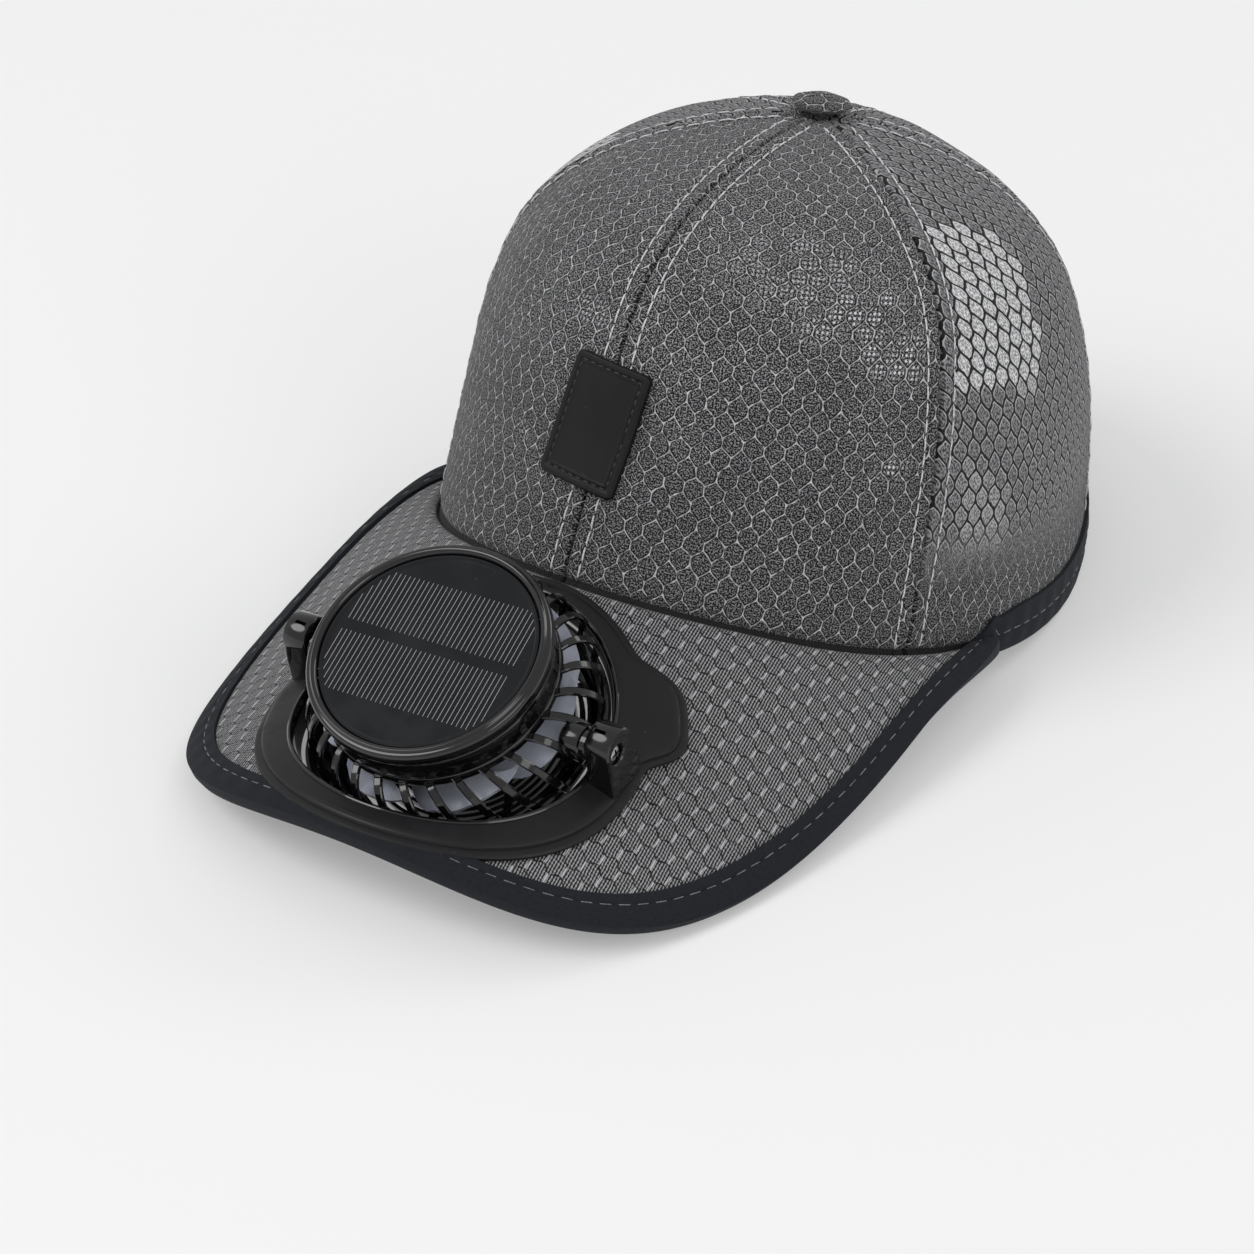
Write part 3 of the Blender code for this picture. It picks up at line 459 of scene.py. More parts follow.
# Hatched cells with dark outlines and a pale dash on each upright side
def makePeakCloth():
    settings = {"Roughness": 0.8, "Specular IOR Level": 0.2, "Sheen Weight": 0.08}
    made, tree, inputs = newMaterial("peak cloth", settings)
    cloth = peakCloth
    place = clothPlace(tree)
    x, y = split(tree, place)[:2]
    cell = cellsAt(tree, place, cloth["cell"], cloth)
    across = calc(tree, "MULTIPLY_ADD", y, cloth["hatchLean"], x)
    waver = times(tree, noise(tree, place, 420.0, 1.0), 3.0)
    hatch = calc(tree, "SINE", calc(tree, "MULTIPLY_ADD", across, math.tau / cloth["hatchPitch"], waver))
    knots = calc(tree, "SINE", calc(tree, "MULTIPLY_ADD", y, math.tau / cloth["knotPitch"], waver))
    fine = times(tree, calc(tree, "SUBTRACT", noise(tree, place, 2200.0, 1.0), 0.5), 1.6)
    weave = calc(tree, "MULTIPLY_ADD", knots, 0.25, times(tree, hatch, 0.6))
    weave = calc(tree, "ADD", weave, fine)
    fill = mixed(tree, spread(tree, weave, -0.20, 0.50), cloth["dark"], cloth["light"])
    ring = spread(tree, cell["Round"], 0.030, 0.055, 1.0, 0.0)
    ring = times(tree, ring, spread(tree, noise(tree, place, 330.0, 1.0), 0.35, 0.60, 0.55, 0.95))
    fill = mixed(tree, ring, fill, cloth["line"])
    strand = calc(tree, "SINE", times(tree, across, math.tau / cloth["strandPitch"]))
    dash = times(tree, cell["Upright"], spread(tree, strand, -1.0, 0.2, 0.35, 1.0))
    colour = mixed(tree, dash, fill, cloth["dash"])
    fromCrown = addNode(tree, "Attribute", attribute_name="fromCrown").outputs["Fac"]
    # painted shadow along the crease at the crown's hem
    sewn = spread(tree, fromCrown, 0.0002, 0.0008, 1.0, 0.0)
    feed(tree, inputs["Base Color"], mixed(tree, sewn, colour, cloth["sewn"]))
    relief = calc(tree, "MULTIPLY_ADD", spread(tree, cell["Round"], 0.0, 0.2), 0.5, times(tree, weave, 0.18))
    relief = calc(tree, "MULTIPLY_ADD", dash, 0.5, relief)
    feed(tree, inputs["Normal"], bumped(tree, relief, cloth["relief"], 0.9))
    return made


def makeWovenCloth(name, dark, light, thread):
    settings = {"Roughness": 0.85, "Specular IOR Level": 0.15, "Sheen Weight": 0.03}
    made, tree, inputs = newMaterial(name, settings)
    weave = useGroup(tree, threads, {"Place": clothPlace(tree), "Thread": thread})
    feed(tree, inputs["Base Color"], mixed(tree, spread(tree, weave["Shade"], 0.35, 0.95), dark, light))
    feed(tree, inputs["Normal"], bumped(tree, weave["Height"], 0.00012, 0.6))
    return made


def makeThreadMaterial(name, dark, light):
    made, tree, inputs = newMaterial(name, {"Roughness": 0.6, "Sheen Weight": 0.2})
    strands = noise(tree, objectPlace(tree), 2600.0, 2.0)
    feed(tree, inputs["Base Color"], mixed(tree, spread(tree, strands, 0.3, 0.65), dark, light))
    feed(tree, inputs["Normal"], bumped(tree, strands, 0.0001, 0.5))
    return made


# A hard surface: smudges change its tint and gloss, dust lies on it where given, and grain roughens it
def makeHard(name, clean, smudged, gloss, grain, settings, dust=None, scale=90.0):
    made, tree, inputs = newMaterial(name, settings)
    marks = useGroup(tree, handling, {"Place": objectPlace(tree), "Dust Scale": scale})
    share = times(tree, marks["Smudge"], 0.5) if dust else marks["Smudge"]
    colour = mixed(tree, share, clean, smudged)
    if dust:
        colour = mixed(tree, times(tree, marks["Speck"], 0.22), colour, dust)
    feed(tree, inputs["Base Color"], colour)
    feed(tree, inputs["Roughness"], spread(tree, marks["Smudge"], 0.0, 1.0, *gloss))
    feed(tree, inputs["Normal"], bumped(tree, marks["Grain"], grain[0], grain[1]))
    return made


def makeMoulded(name, clean, smudged, gloss, grain, coat=0.0, specular=0.5):
    settings = {"Specular IOR Level": specular, "Coat Weight": coat, "Coat Roughness": 0.05}
    return makeHard(name, clean, smudged, gloss, (grain, 0.5), settings, dust=(0.10, 0.10, 0.11))


bladeShader = {"Subsurface Weight": 0.15, "Subsurface Radius": (0.004, 0.004, 0.005)}
materials = {
    "front cloth": makeMeshCloth("front cloth", meshCloth["frontCell"], False),
    "side cloth": makeMeshCloth("side cloth", meshCloth["sideCell"], True),
    "peak cloth": makePeakCloth(),
    "lining": makeWovenCloth("peak lining", (0.020, 0.020, 0.022), (0.05, 0.05, 0.053), 0.0006),
    "tape": makeWovenCloth("tape", (0.0055, 0.0065, 0.009), (0.018, 0.020, 0.0255), 0.00045),
    "pale thread": makeThreadMaterial("pale thread", (0.40, 0.40, 0.41), (0.72, 0.72, 0.73)),
    "grey thread": makeThreadMaterial("grey thread", (0.07, 0.07, 0.075), (0.20, 0.20, 0.21)),
    "black thread": makeThreadMaterial("black thread", (0.006, 0.006, 0.007), (0.030, 0.030, 0.032)),
    "rubber": makeMoulded(
        "rubber", (0.0035, 0.0035, 0.004), (0.008, 0.008, 0.0085), (0.42, 0.6), 0.00010, specular=0.25
    ),
    "matt plastic": makeMoulded(
        "matt plastic", (0.006, 0.006, 0.007), (0.010, 0.010, 0.012), (0.40, 0.55), 0.00004, specular=0.3
    ),
    "gloss plastic": makeMoulded(
        "gloss plastic", (0.003, 0.003, 0.0035), (0.006, 0.006, 0.007), (0.10, 0.20), 0.000004, 0.4, 0.4
    ),
    "solar cell": makeMoulded(
        "solar cell", (0.004, 0.0045, 0.006), (0.007, 0.008, 0.010), (0.12, 0.22), 0.00001, specular=0.3
    ),
    "silver print": makeMoulded(
        "silver print", (0.36, 0.37, 0.40), (0.30, 0.31, 0.33), (0.3, 0.4), 0.00001
    ),
    "blade plastic": makeHard(
        "blade plastic", (0.46, 0.48, 0.56), (0.34, 0.36, 0.43), (0.16, 0.3), (0.00003, 0.4), bladeShader
    ),
    "screw metal": makeHard(
        "screw metal", (0.62, 0.62, 0.63), (0.36, 0.36, 0.38), (0.18, 0.4), (0.00002, 0.5),
        {"Metallic": 1.0}, scale=900.0,
    ),
}
print("materials made")


# Mesh helpers


# Points of a frame in the whole object's place
def placed(points, place):
    return points @ np.array(place)[:3, :3].T + np.array(place)[:3, 3]


def newObject(name, points, faces):
    mesh = bpy.data.meshes.new(name)
    mesh.from_pydata(np.asarray(points).tolist(), [], faces)
    made = bpy.data.objects.new(name, mesh)
    bpy.context.scene.collection.objects.link(made)
    return made


# A piece from points in its own frame: loose points dropped, smooth shading, riding on its body
def makePiece(
    name, points, faces, material, place=hatFrame, body="cap",
    attributes=None, slot=None, stands=(), crease=40,
):
    points = np.asarray(points, float).reshape(-1, 3)
    kept = np.unique(np.concatenate([np.ravel(face) for face in faces]))
    renumber = np.full(len(points), -1)
    renumber[kept] = np.arange(len(kept))
    faces = [[int(renumber[index]) for index in face] for face in faces]
    made = newObject(name, placed(points[kept], place), faces)
    mesh = made.data
    for label, values in (attributes or {}).items():
        values = np.asarray(values, np.float32).reshape(len(renumber), -1)[kept]
        kind, key = ("FLOAT_VECTOR", "vector") if values.shape[1] == 3 else ("FLOAT", "value")
        mesh.attributes.new(label, kind, "POINT").data.foreach_set(key, values.ravel())
    mesh.shade_smooth()
    mesh.set_sharp_from_angle(angle=math.radians(crease))
    mesh.materials.append(materials[material])
    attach(made, body)
    if stands:
        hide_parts(*stands)
    return made


# Quads of a grid of points, closed on itself where wrapped
def gridFaces(rows, columns, wrapRows=False, wrapColumns=False, start=0, flip=False):
    i = np.arange(rows if wrapRows else rows - 1)[:, None]
    j = np.arange(columns if wrapColumns else columns - 1)[None, :]
    after = (i + 1) % rows
    beside = (j + 1) % columns
    quads = np.stack([i * columns + j, after * columns + j, after * columns + beside, i * columns + beside], axis=-1)
    quads = quads.reshape(-1, 4) + start
    return (quads[:, ::-1] if flip else quads).tolist()


# Quads that join rings of points, with an end cap on each unless the rings close on themselves
def ringFaces(sections, closed=False, caps=True):
    count, size = sections.shape[:2]
    faces = gridFaces(count, size, wrapRows=closed, wrapColumns=True)
    if caps and not closed:
        faces += [list(range(size))[::-1], list(range((count - 1) * size, count * size))]
    return faces


# Faces of a cloth with two sides: an outer grid, an inner grid and the rim between them
def shellFaces(rows, columns):
    faces = gridFaces(rows, columns) + gridFaces(rows, columns, start=rows * columns, flip=True)
    far = rows * columns
    rim = [(0, j) for j in range(columns)] + [(i, columns - 1) for i in range(1, rows)]
    rim += [(rows - 1, j) for j in range(columns - 2, -1, -1)] + [(i, 0) for i in range(rows - 2, 0, -1)]
    for (a, b), (c, d) in zip(rim, rim[1:] + rim[:1]):
        first, second = a * columns + b, c * columns + d
        faces.append([first, second, second + far, first + far])
    return faces


# Even angles round a full circle
def circle(steps):
    return np.arange(steps) * math.tau / steps


# A line of (radius, height) turned about Z
def lathe(profile, steps):
    profile = np.array(profile, float)
    angles = circle(steps)
    radius, height = profile[:, 0], np.tile(profile[:, 1], (steps, 1))
    return np.stack([np.outer(np.cos(angles), radius), np.outer(np.sin(angles), radius), height], axis=-1)


def unit(vectors):
    return vectors / np.maximum(np.linalg.norm(vectors, axis=-1, keepdims=True), 1e-12)


# How far along a line each of its points lies
def lengthsAlong(path):
    return np.concatenate([[0], np.cumsum(np.linalg.norm(np.diff(path, axis=0), axis=1))])


# Several lists of points and faces as one
def mergedParts(parts):
    points, faces, offset = [], [], 0
    for partPoints, partFaces in parts:
        flat = np.asarray(partPoints, float).reshape(-1, 3)
        points.append(flat)
        faces += [[index + offset for index in face] for face in partFaces]
        offset += len(flat)
    return np.concatenate(points), faces


# Points or normals of a path, read at lengths along it
def readAlong(where, lengths, values):
    return np.stack([np.interp(where, lengths, values[:, k]) for k in range(3)], axis=-1)


# Short rounded threads along a path, each dipping into the cloth at both ends
def stitchParts(path, normals, stitch, seed):
    lengths = lengthsAlong(path)
    radius, pitch = stitch["radius"], stitch["pitch"]
    dice = np.random.default_rng(seed)
    share = np.linspace(0, 1, 7)
    fromMiddle = 2 * share - 1
    arch = stitch["lift"] * (1 - fromMiddle**4) - radius * 0.9
    width = radius * np.clip(1.15 - fromMiddle**6 * 0.75, 0.1, 1)
    turn = circle(6)[None, :, None]
    parts = []
    for index in range(int(lengths[-1] / pitch)):
        middle = pitch * (index + 0.5)
        where = middle + (share - 0.5) * stitch["length"] * dice.uniform(0.92, 1.05)
        line = readAlong(where, lengths, path)
        normal = unit(readAlong(where, lengths, normals))
        side = unit(np.cross(unit(np.gradient(line, axis=0)), normal))
        lean = dice.uniform(-0.5, 0.5) * radius
        line = line + side * fromMiddle[:, None] * lean + normal * arch[:, None]
        ring = side[:, None] * np.cos(turn) + normal[:, None] * np.sin(turn) * 0.8
        sections = line[:, None] + ring * width[:, None, None]
        parts.append((sections, ringFaces(sections)))
    return parts


# Crown

crown = {
    "halfWidth": 0.0829,
    "halfLength": 0.1002,
    "height": 0.0967,
    "lean": 0.0072,
    "sideDrop": 0.0202,
    "backRise": 0.0024,
    "tuck": 0.0030,
    "hemPower": 1.96,
    "topPower": 1.98,
    "panelAngle": math.radians(60),
    "topAngle": math.radians(87.4),
    "cloth": 0.0011,
    "columns": 110,
    "rows": 132,
    "edgeCrowding": 0.84,
    "stitchOffset": 0.0040,
    "seamDepth": 0.0011,
    "seamWidth": 0.00042,
    "ridge": 0.00030,
    "ridgeRamps": (0.0009, 0.0016),
    "pucker": 0.00020,
    "puckerPitch": 0.0088,
    "puckerWidth": 0.0035,
    "hemRoll": (0.0012, 0.0010),  # how deep the hem rolls in, and how high up
    "stitchDent": (0.00030, 0.0006),
    "slack": 0.00045,
    "tapedFrom": math.radians(74),  # angle from the front where the tape takes over the hem
    "grainBend": 2.0,
    "uprightHeight": 0.045,
    "patternShift": 40,  # cells by which the other panels' pattern is shifted
    "sections": {
        "angle": (0, 8, 20, 35, 50, 65, 80, 90),
        "front": (1.000, 0.971, 0.966, 1.047, 1.168, 1.273, 1.344, 1.344),
        "side": (1.000, 1.003, 1.040, 1.140, 1.277, 1.343, 1.338, 1.338),
        "back": (1.000, 0.977, 0.932, 0.843, 0.800, 0.868, 0.953, 0.953),
    },
}


# A smooth curve through one column of the crown's sections
def curveThrough(column, angle):
    knots = np.radians(np.array(crown["sections"]["angle"], float))
    values = np.array(crown["sections"][column], float)
    slopes = np.gradient(values, knots)
    slopes[-1] = 0
    angle = np.clip(angle, knots[0], knots[-1])
    k = np.clip(np.searchsorted(knots, angle, side="right") - 1, 0, len(knots) - 2)
    width = knots[k + 1] - knots[k]
    t = (angle - knots[k]) / width
    first = values[k] * (1 + 2 * t) + slopes[k] * width * t
    last = values[k + 1] * (3 - 2 * t) - slopes[k + 1] * width * (1 - t)
    return first * (1 - t) ** 2 + last * t**2


def hemHeight(around):
    return crown["backRise"] / 2 * (1 - np.cos(around)) - crown["sideDrop"] / 2 * (1 - np.cos(2 * around))


# The crown's outer surface, by angle round it (0 ahead) and angle up it
def crownSurface(around, up):
    around, up = np.broadcast_arrays(np.asarray(around, float), np.asarray(up, float))
    ahead, beside, share = np.cos(around), np.sin(around), np.sin(up)
    power = crown["hemPower"] + (crown["topPower"] - crown["hemPower"]) * share
    roundOff = (np.abs(beside) ** power + np.abs(ahead) ** power) ** (-1 / power) * np.cos(up)
    lengthways = np.where(ahead > 0, curveThrough("front", up), curveThrough("back", up))
    hem = hemHeight(around)
    x = crown["halfWidth"] * curveThrough("side", up) * roundOff * beside
    y = crown["lean"] * share - crown["halfLength"] * lengthways * roundOff * ahead
    return np.stack([x, y, hem + (crown["height"] - hem) * share], axis=-1)


def crownNormal(around, up):
    step = 1e-4
    along = crownSurface(around + step, up) - crownSurface(around - step, up)
    rising = crownSurface(around, up + step) - crownSurface(around, np.maximum(up - step, 0))
    return unit(np.cross(along, rising))


def crownPoint(around, up, out=0.0, below=0.0):
    point = crownSurface(around, up) + np.asarray(out)[..., None] * crownNormal(around, up)
    point[..., 2] -= below
    return point


def crownAngle(around, rise):
    return np.arcsin(np.clip(rise / (crown["height"] - hemHeight(around)), 0, 1))


# Angles up a seam and the cloth's length to each
def climb(around):
    fine = np.linspace(0, crown["topAngle"], 400)
    return fine, lengthsAlong(crownSurface(around, fine))


# Angle from the front, to either side
def fromFront(around):
    return np.abs((around + math.pi) % math.tau - math.pi)


# How far a line of stitches runs from its seam
def seamOffset(width):
    return np.minimum(crown["stitchOffset"], width * 0.34)


def hump(away, width):
    return np.exp(-((away / width) ** 2))


# The cloth's own relief: a crack at each seam, a low ridge and a dent under each line of stitches,
# slack between them and a hem that rolls in
def clothRelief(around, side, height, width):
    fromSeam = width / 2 - np.abs(side)
    offset = seamOffset(width)
    dentDepth, dentWidth = crown["stitchDent"]
    rollDepth, rollHeight = crown["hemRoll"]
    crack = crown["seamDepth"] * hump(fromSeam, crown["seamWidth"])
    rampUp, rampDown = crown["ridgeRamps"]
    ridge = np.clip(fromSeam / rampUp, 0, 1) * np.clip((offset - fromSeam) / rampDown, 0, 1)
    dent = dentDepth * hump(fromSeam - offset, dentWidth)
    ripple = np.sin(height * math.tau / crown["puckerPitch"] + 1.7 * np.sin(height * 61) + np.sign(side) * 0.9)
    pucker = ripple * hump(fromSeam - offset, crown["puckerWidth"]) * np.clip(fromSeam / 0.002, 0, 1)
    slack = np.sin(around * 5.3 + height * 38) * np.sin(height * 47 + around * 3.1 + 0.8)
    slack = slack * np.clip(fromSeam / 0.012, 0, 1)
    relief = crown["ridge"] * ridge + crown["pucker"] * pucker + crown["slack"] * slack - crack - dent
    relief = relief - rollDepth * hump(height, rollHeight)
    taped = np.clip((fromFront(around) - crown["tapedFrom"]) / math.radians(4), 0, 1)
    return relief * (1 - taped * np.clip(1.4 - height / 0.010, 0, 1))


# One panel as a grid: columns run round the crown, crowded at the seams, and rows climb it
def panelGrid(start):
    middle = start + crown["panelAngle"] / 2
    fine, lengths = climb(middle)
    up = np.interp(np.linspace(0, lengths[-1], crown["rows"]), lengths, fine)
    up = np.concatenate([[0, 0], up])
    below = np.zeros(len(up))
    below[:2] = crown["tuck"], crown["tuck"] / 2
    t = np.linspace(0, 1, crown["columns"])
    share = t - crown["edgeCrowding"] * np.sin(math.tau * t) / math.tau
    around = start + crown["panelAngle"] * share[:, None] + 0 * up[None, :]
    level = crownSurface(around, up[None, :])
    steps = np.linalg.norm(np.diff(level, axis=0), axis=2)
    across = np.concatenate([np.zeros((1, len(up))), np.cumsum(steps, axis=0)])
    width = across[-1]
    side = across - width / 2
    height = np.interp(up, fine, lengths) - below
    full = np.zeros_like(side)
    return around, full + up, full + below, side, full + height, full + width


def crownPanel(place, side):
    index = ("front", "side", "back").index(place)
    start = crown["panelAngle"] * (index if side == "left" else -index - 1)
    around, up, below, across, height, width = panelGrid(start)
    relief = clothRelief(around, across, height, width)
    outer = crownPoint(around, up, relief, below)
    inner = crownPoint(around, up, relief * 0.6 - crown["cloth"], below)
    rows, columns = across.shape
    patternX = across if side == "left" else -across
    patternX = patternX + crown["grainBend"] * (height - crown["uprightHeight"]) ** 2 * (place == "side")
    if (place, side) == ("front", "right") or place == "back":
        cell = meshCloth["frontCell" if place == "front" else "sideCell"][0]
        patternX = patternX + crown["patternShift"] * cell
    flat = np.stack([patternX, height, 0 * across], axis=-1)
    makePiece(
        f"cloth_{place}_{side}", [outer, inner], shellFaces(rows, columns),
        "front cloth" if place == "front" else "side cloth", attributes={"clothPlace": [flat, flat]},
        slot="mesh_cloth", stands=[f"crown_panel_{place}_{side}"], crease=60,
    )


for place in ("front", "side", "back"):
    for side in ("left", "right"):
        crownPanel(place, side)
print("crown panels made")


crownStitch = {"pitch": 0.0042, "length": 0.0037, "radius": 0.00024, "lift": 0.00026}
stitchedFrom = {"ahead": 0.0008, "taped": 0.0080}  # heights where the lines of stitches begin
stitchedTo = 0.0045  # from the top


# The line of stitches on one side of a seam
def seamLine(seam, side):
    fine, lengths = climb(seam)
    low = stitchedFrom["taped" if fromFront(seam) > crown["tapedFrom"] else "ahead"]
    up = np.interp(np.linspace(low, lengths[-1] - stitchedTo, 260), lengths, fine)
    step = 1e-3
    reach = np.linalg.norm(crownSurface(seam + step, up) - crownSurface(seam, up), axis=-1) / step
    offset = seamOffset(reach * crown["panelAngle"])
    around = seam + side * offset / reach
    return crownPoint(around, up, np.full(len(up), 0.0001)), crownNormal(around, up)


def seamStitches():
    parts = []
    for index in range(6):
        for side in (-1, 1):
            path, normals = seamLine(index * crown["panelAngle"], side)
            parts += stitchParts(path, normals, crownStitch, 10 * index + side + 1)
    makePiece("seam_stitches", *mergedParts(parts), "pale thread")


seamStitches()
print("seam stitches made")


button = {
    "radius": 0.0078,
    "height": 0.0044,
    "raised": 0.0006,
    "bend": math.radians(118),  # how far the cloth turns over, from the middle to the underside
    "clothReach": 0.0118,
    "patternShift": 0.021,
    "steps": 72,
    "rings": 21,
    "folds": 6,
    "pull": 0.020,
    "dent": 0.00018,
}


# The cloth button, pulled in slightly by its folds
def coveredButton():
    steps, rings = button["steps"], button["rings"]
    angle = circle(steps)[None, :]
    share = np.linspace(0, 1, rings + 1)[1:, None]
    bend = share * button["bend"]
    pull = 1 + button["pull"] * np.cos(angle * button["folds"]) * share**2
    radius = np.sin(bend) * button["radius"] * pull
    dents = button["dent"] * np.sin(angle * 5 + 1) * np.sin(share * 9)
    height = button["height"] * (1 + np.cos(bend)) / 2 + button["raised"] + dents
    sections = np.stack([radius * np.cos(angle), radius * np.sin(angle), height], axis=-1)
    points = np.vstack([sections.reshape(-1, 3), sections[0].mean(axis=0)])
    reach = button["clothReach"] * share
    flat = np.stack([reach * np.cos(angle), reach * np.sin(angle) + button["patternShift"], 0 * radius], axis=-1)
    flat = np.vstack([flat.reshape(-1, 3), (0, button["patternShift"], 0)])
    faces = gridFaces(rings, steps, wrapColumns=True, flip=True)
    faces += [[j, (j + 1) % steps, rings * steps] for j in range(steps)]
    faces.append(list(range((rings - 1) * steps, rings * steps))[::-1])
    makePiece(
        "button_cover", points + (0, crown["lean"], crown["height"]), faces, "front cloth",
        attributes={"clothPlace": flat}, slot="mesh_cloth", stands=["crown_button"], crease=60,
    )


coveredButton()
print("button made")


# Peak

peak = {
    "length": 0.0872,
    "halfWidth": 0.0860,
    "widestAhead": 0.0663,
    "joinAngle": math.radians(78.5),
    "thickness": 0.0022,
    "slope": 0.405,
    "curlDrop": 0.00076,
    "archDrop": 0.0381,
    "blend": 0.28,
    "endShare": 0.985,
    "handles": (0.214, 0.405, 0.652, 0.814),
    "gap": 0.0003,
    "sewnDip": (0.0010, 0.0012),  # how deep the cloth dips at the crown's seam, and how far out
    "tapeSwell": (0.00025, 0.0016),
    "slack": 0.00025,
    "columns": 240,
    "rows": 64,
}
edgeTape = {
    "width": 0.0062,
    "rise": 0.0075,
    "joinAngle": math.radians(0.5),
    "riseAngle": math.radians(7),
    "peakColumns": 330,
    "hemColumns": 300,
    "turnColumns": 14,
    "gap": 0.00035,
    "wall": 0.0007,
    "swell": 0.00030,
    "ripple": 0.00016,
    "peakRipple": (0.0092, 40),  # pitch and drift
    "hemRipple": (0.0086, 33),
    "peakStitch": 0.62,  # how far in from the folded edge the stitches run, on the peak and on the hem
    "hemStitch": 0.50,
}
fan = {
    "setback": 0.0438,
    "openingRadius": 0.0385,
    "sideRadius": 0.0490,
    "frontRadius": 0.0466,
    "rearRadius": 0.0448,
    "earReach": 0.0092,
    "earAngle": math.radians(32),
    "earSpread": math.radians(14),
    "holeRadius": 0.0403,
}


# The peak's height without its blend into the crown's hem
def plainPeakHeight(x, y):
    ahead = -(y + crown["halfLength"])
    curl = peak["curlDrop"] * (ahead / peak["length"]) ** 2
    return -peak["slope"] * ahead - curl - peak["archDrop"] * (x / peak["halfWidth"]) ** 2


def peakHeight(x, y):
    around = np.arctan2(x / crown["halfWidth"], -y / crown["halfLength"])
    hem = crownSurface(around, np.zeros_like(around))
    distance = np.hypot(x, y) / np.hypot(hem[..., 0], hem[..., 1]) - 1
    share = np.clip(1 - distance / peak["blend"], 0, 1) ** 2
    return plainPeakHeight(x, y) + share * (hem[..., 2] - plainPeakHeight(hem[..., 0], hem[..., 1]))


def peakNormal(x, y):
    step = 1e-4
    riseX = peakHeight(x + step, y) - peakHeight(x - step, y)
    riseY = peakHeight(x, y + step) - peakHeight(x, y - step)
    return unit(np.stack([-riseX, -riseY, np.full_like(x, 2 * step)], axis=-1))


def onPeak(x, y, above=0.0):
    x, y = np.broadcast_arrays(np.asarray(x, float), np.asarray(y, float))
    return np.stack([x, y, peakHeight(x, y)], axis=-1) + np.asarray(above)[..., None] * peakNormal(x, y)


def hemOutline(around, out=0.0):
    return crownPoint(around, np.zeros_like(around), out)


# The peak's outline on one side, from the crown to the front
def halfOutline():
    joinHandle, rearHandle, foreHandle, frontHandle = peak["handles"]
    join = hemOutline(np.array([peak["joinAngle"]]), peak["gap"])[0]
    join = Vector((join[0], join[1], 0))
    widest = Vector((peak["halfWidth"], -peak["widestAhead"], 0))
    front = Vector((0, -(crown["halfLength"] + peak["length"]), 0))
    span = (widest - join).length
    leaving = Vector((1, -1, 0)).normalized() * span * joinHandle
    rear = interpolate_bezier(join, join + leaving, widest + Vector((0, span * rearHandle, 0)), widest, 60)
    bend = widest + Vector((0, (front.y - widest.y) * foreHandle, 0))
    fore = interpolate_bezier(widest, bend, front + Vector((peak["halfWidth"] * frontHandle, 0, 0)), front, 90)
    return np.array([point.xy for point in rear + fore[1:]])


def peakEdge(share):
    half = halfOutline()[::-1]
    lengths = lengthsAlong(half)
    at = np.abs(share) * lengths[-1]
    x = np.interp(at, lengths, half[:, 0]) * np.sign(share)
    return np.stack([x, np.interp(at, lengths, half[:, 1])], axis=-1)


# Places along the peak's edge, the way in from each, the room up to the crown, and how squarely it runs
def edgeStations(count):
    share = np.linspace(-peak["endShare"], peak["endShare"], count)
    edge = peakEdge(share)
    inward = hemOutline(share * peak["joinAngle"], peak["gap"])[..., :2] - edge
    room = np.linalg.norm(inward, axis=-1)
    inward = inward / room[:, None]
    along = unit(np.gradient(edge, axis=0))
    squareness = np.abs(inward[:, 0] * along[:, 1] - inward[:, 1] * along[:, 0])
    return edge, inward, room, squareness


# The peak's upper and lower cloth, with the hole for the fan
def peakBoard():
    edge, inward, room, squareness = edgeStations(peak["columns"])
    steps = np.linspace(0, 1, peak["rows"])
    plan = edge[:, None] + inward[:, None] * (room[:, None] * (1 - steps)[None, :])[..., None]
    x, y = plan[..., 0], plan[..., 1]
    toCrease = room[:, None] * steps[None, :]
    toEdge = (room[:, None] - toCrease) * squareness[:, None]
    fromTape = toEdge - edgeTape["width"]
    dipDepth, dipWidth = peak["sewnDip"]
    swellHeight, swellWidth = peak["tapeSwell"]
    dip = dipDepth * hump(toCrease, dipWidth)
    swell = swellHeight * hump(fromTape - 0.0010, swellWidth)
    slack = peak["slack"] * np.sin(x * 70 + 1) * np.sin(y * 85) * np.clip(toEdge / 0.02, 0, 1)
    bare = np.clip((fromTape + 0.0006) / 0.0006, 0, 1)
    bare = bare * np.clip((room[:, None] - edgeTape["width"]) / 0.004, 0, 1)
    upper = onPeak(x, y, (swell + slack - dip) * bare)
    lower = onPeak(x, y, -peak["thickness"] - dip)
    upper[:, 0, 2] -= 0.0002
    stretch = math.sqrt(1 + peak["slope"] ** 2)
    away = np.hypot(x, (y + crown["halfLength"] + fan["setback"]) * stretch)
    keep = (away > fan["holeRadius"] + 0.0006).ravel()
    faces = [face for face in gridFaces(*x.shape) if all(keep[i] for i in face)]
    arched = 1 + (2 * peak["archDrop"] * x / peak["halfWidth"] ** 2) ** 2 / 6
    return upper, lower, faces, np.stack([x * arched, y * stretch, 0 * x], axis=-1), toCrease


def makePeak():
    upper, lower, faces, flat, toCrease = peakBoard()
    count = toCrease.size
    below = [[i + count for i in face[::-1]] for face in faces]
    sides = {}  # in the order of the faces
    for face in faces:
        for a, b in zip(face, face[1:] + face[:1]):
            sides[(a, b)] = True
    rim = [[b, a, a + count, b + count] for a, b in sides if (b, a) not in sides]
    made = makePiece(
        "peak_cover", [upper, lower], faces + below + rim, "peak cloth",
        attributes={"clothPlace": [flat, flat], "fromCrown": [toCrease, toCrease]},
        slot="peak_cloth", stands=["peak"], crease=60,
    )
    made.data.materials.append(materials["lining"])
    for polygon in made.data.polygons[len(faces):]:
        polygon.material_index = 1


makePeak()
print("peak made")


tapeStitch = {"pitch": 0.0046, "length": 0.0036, "radius": 0.00017, "lift": 0.00016}


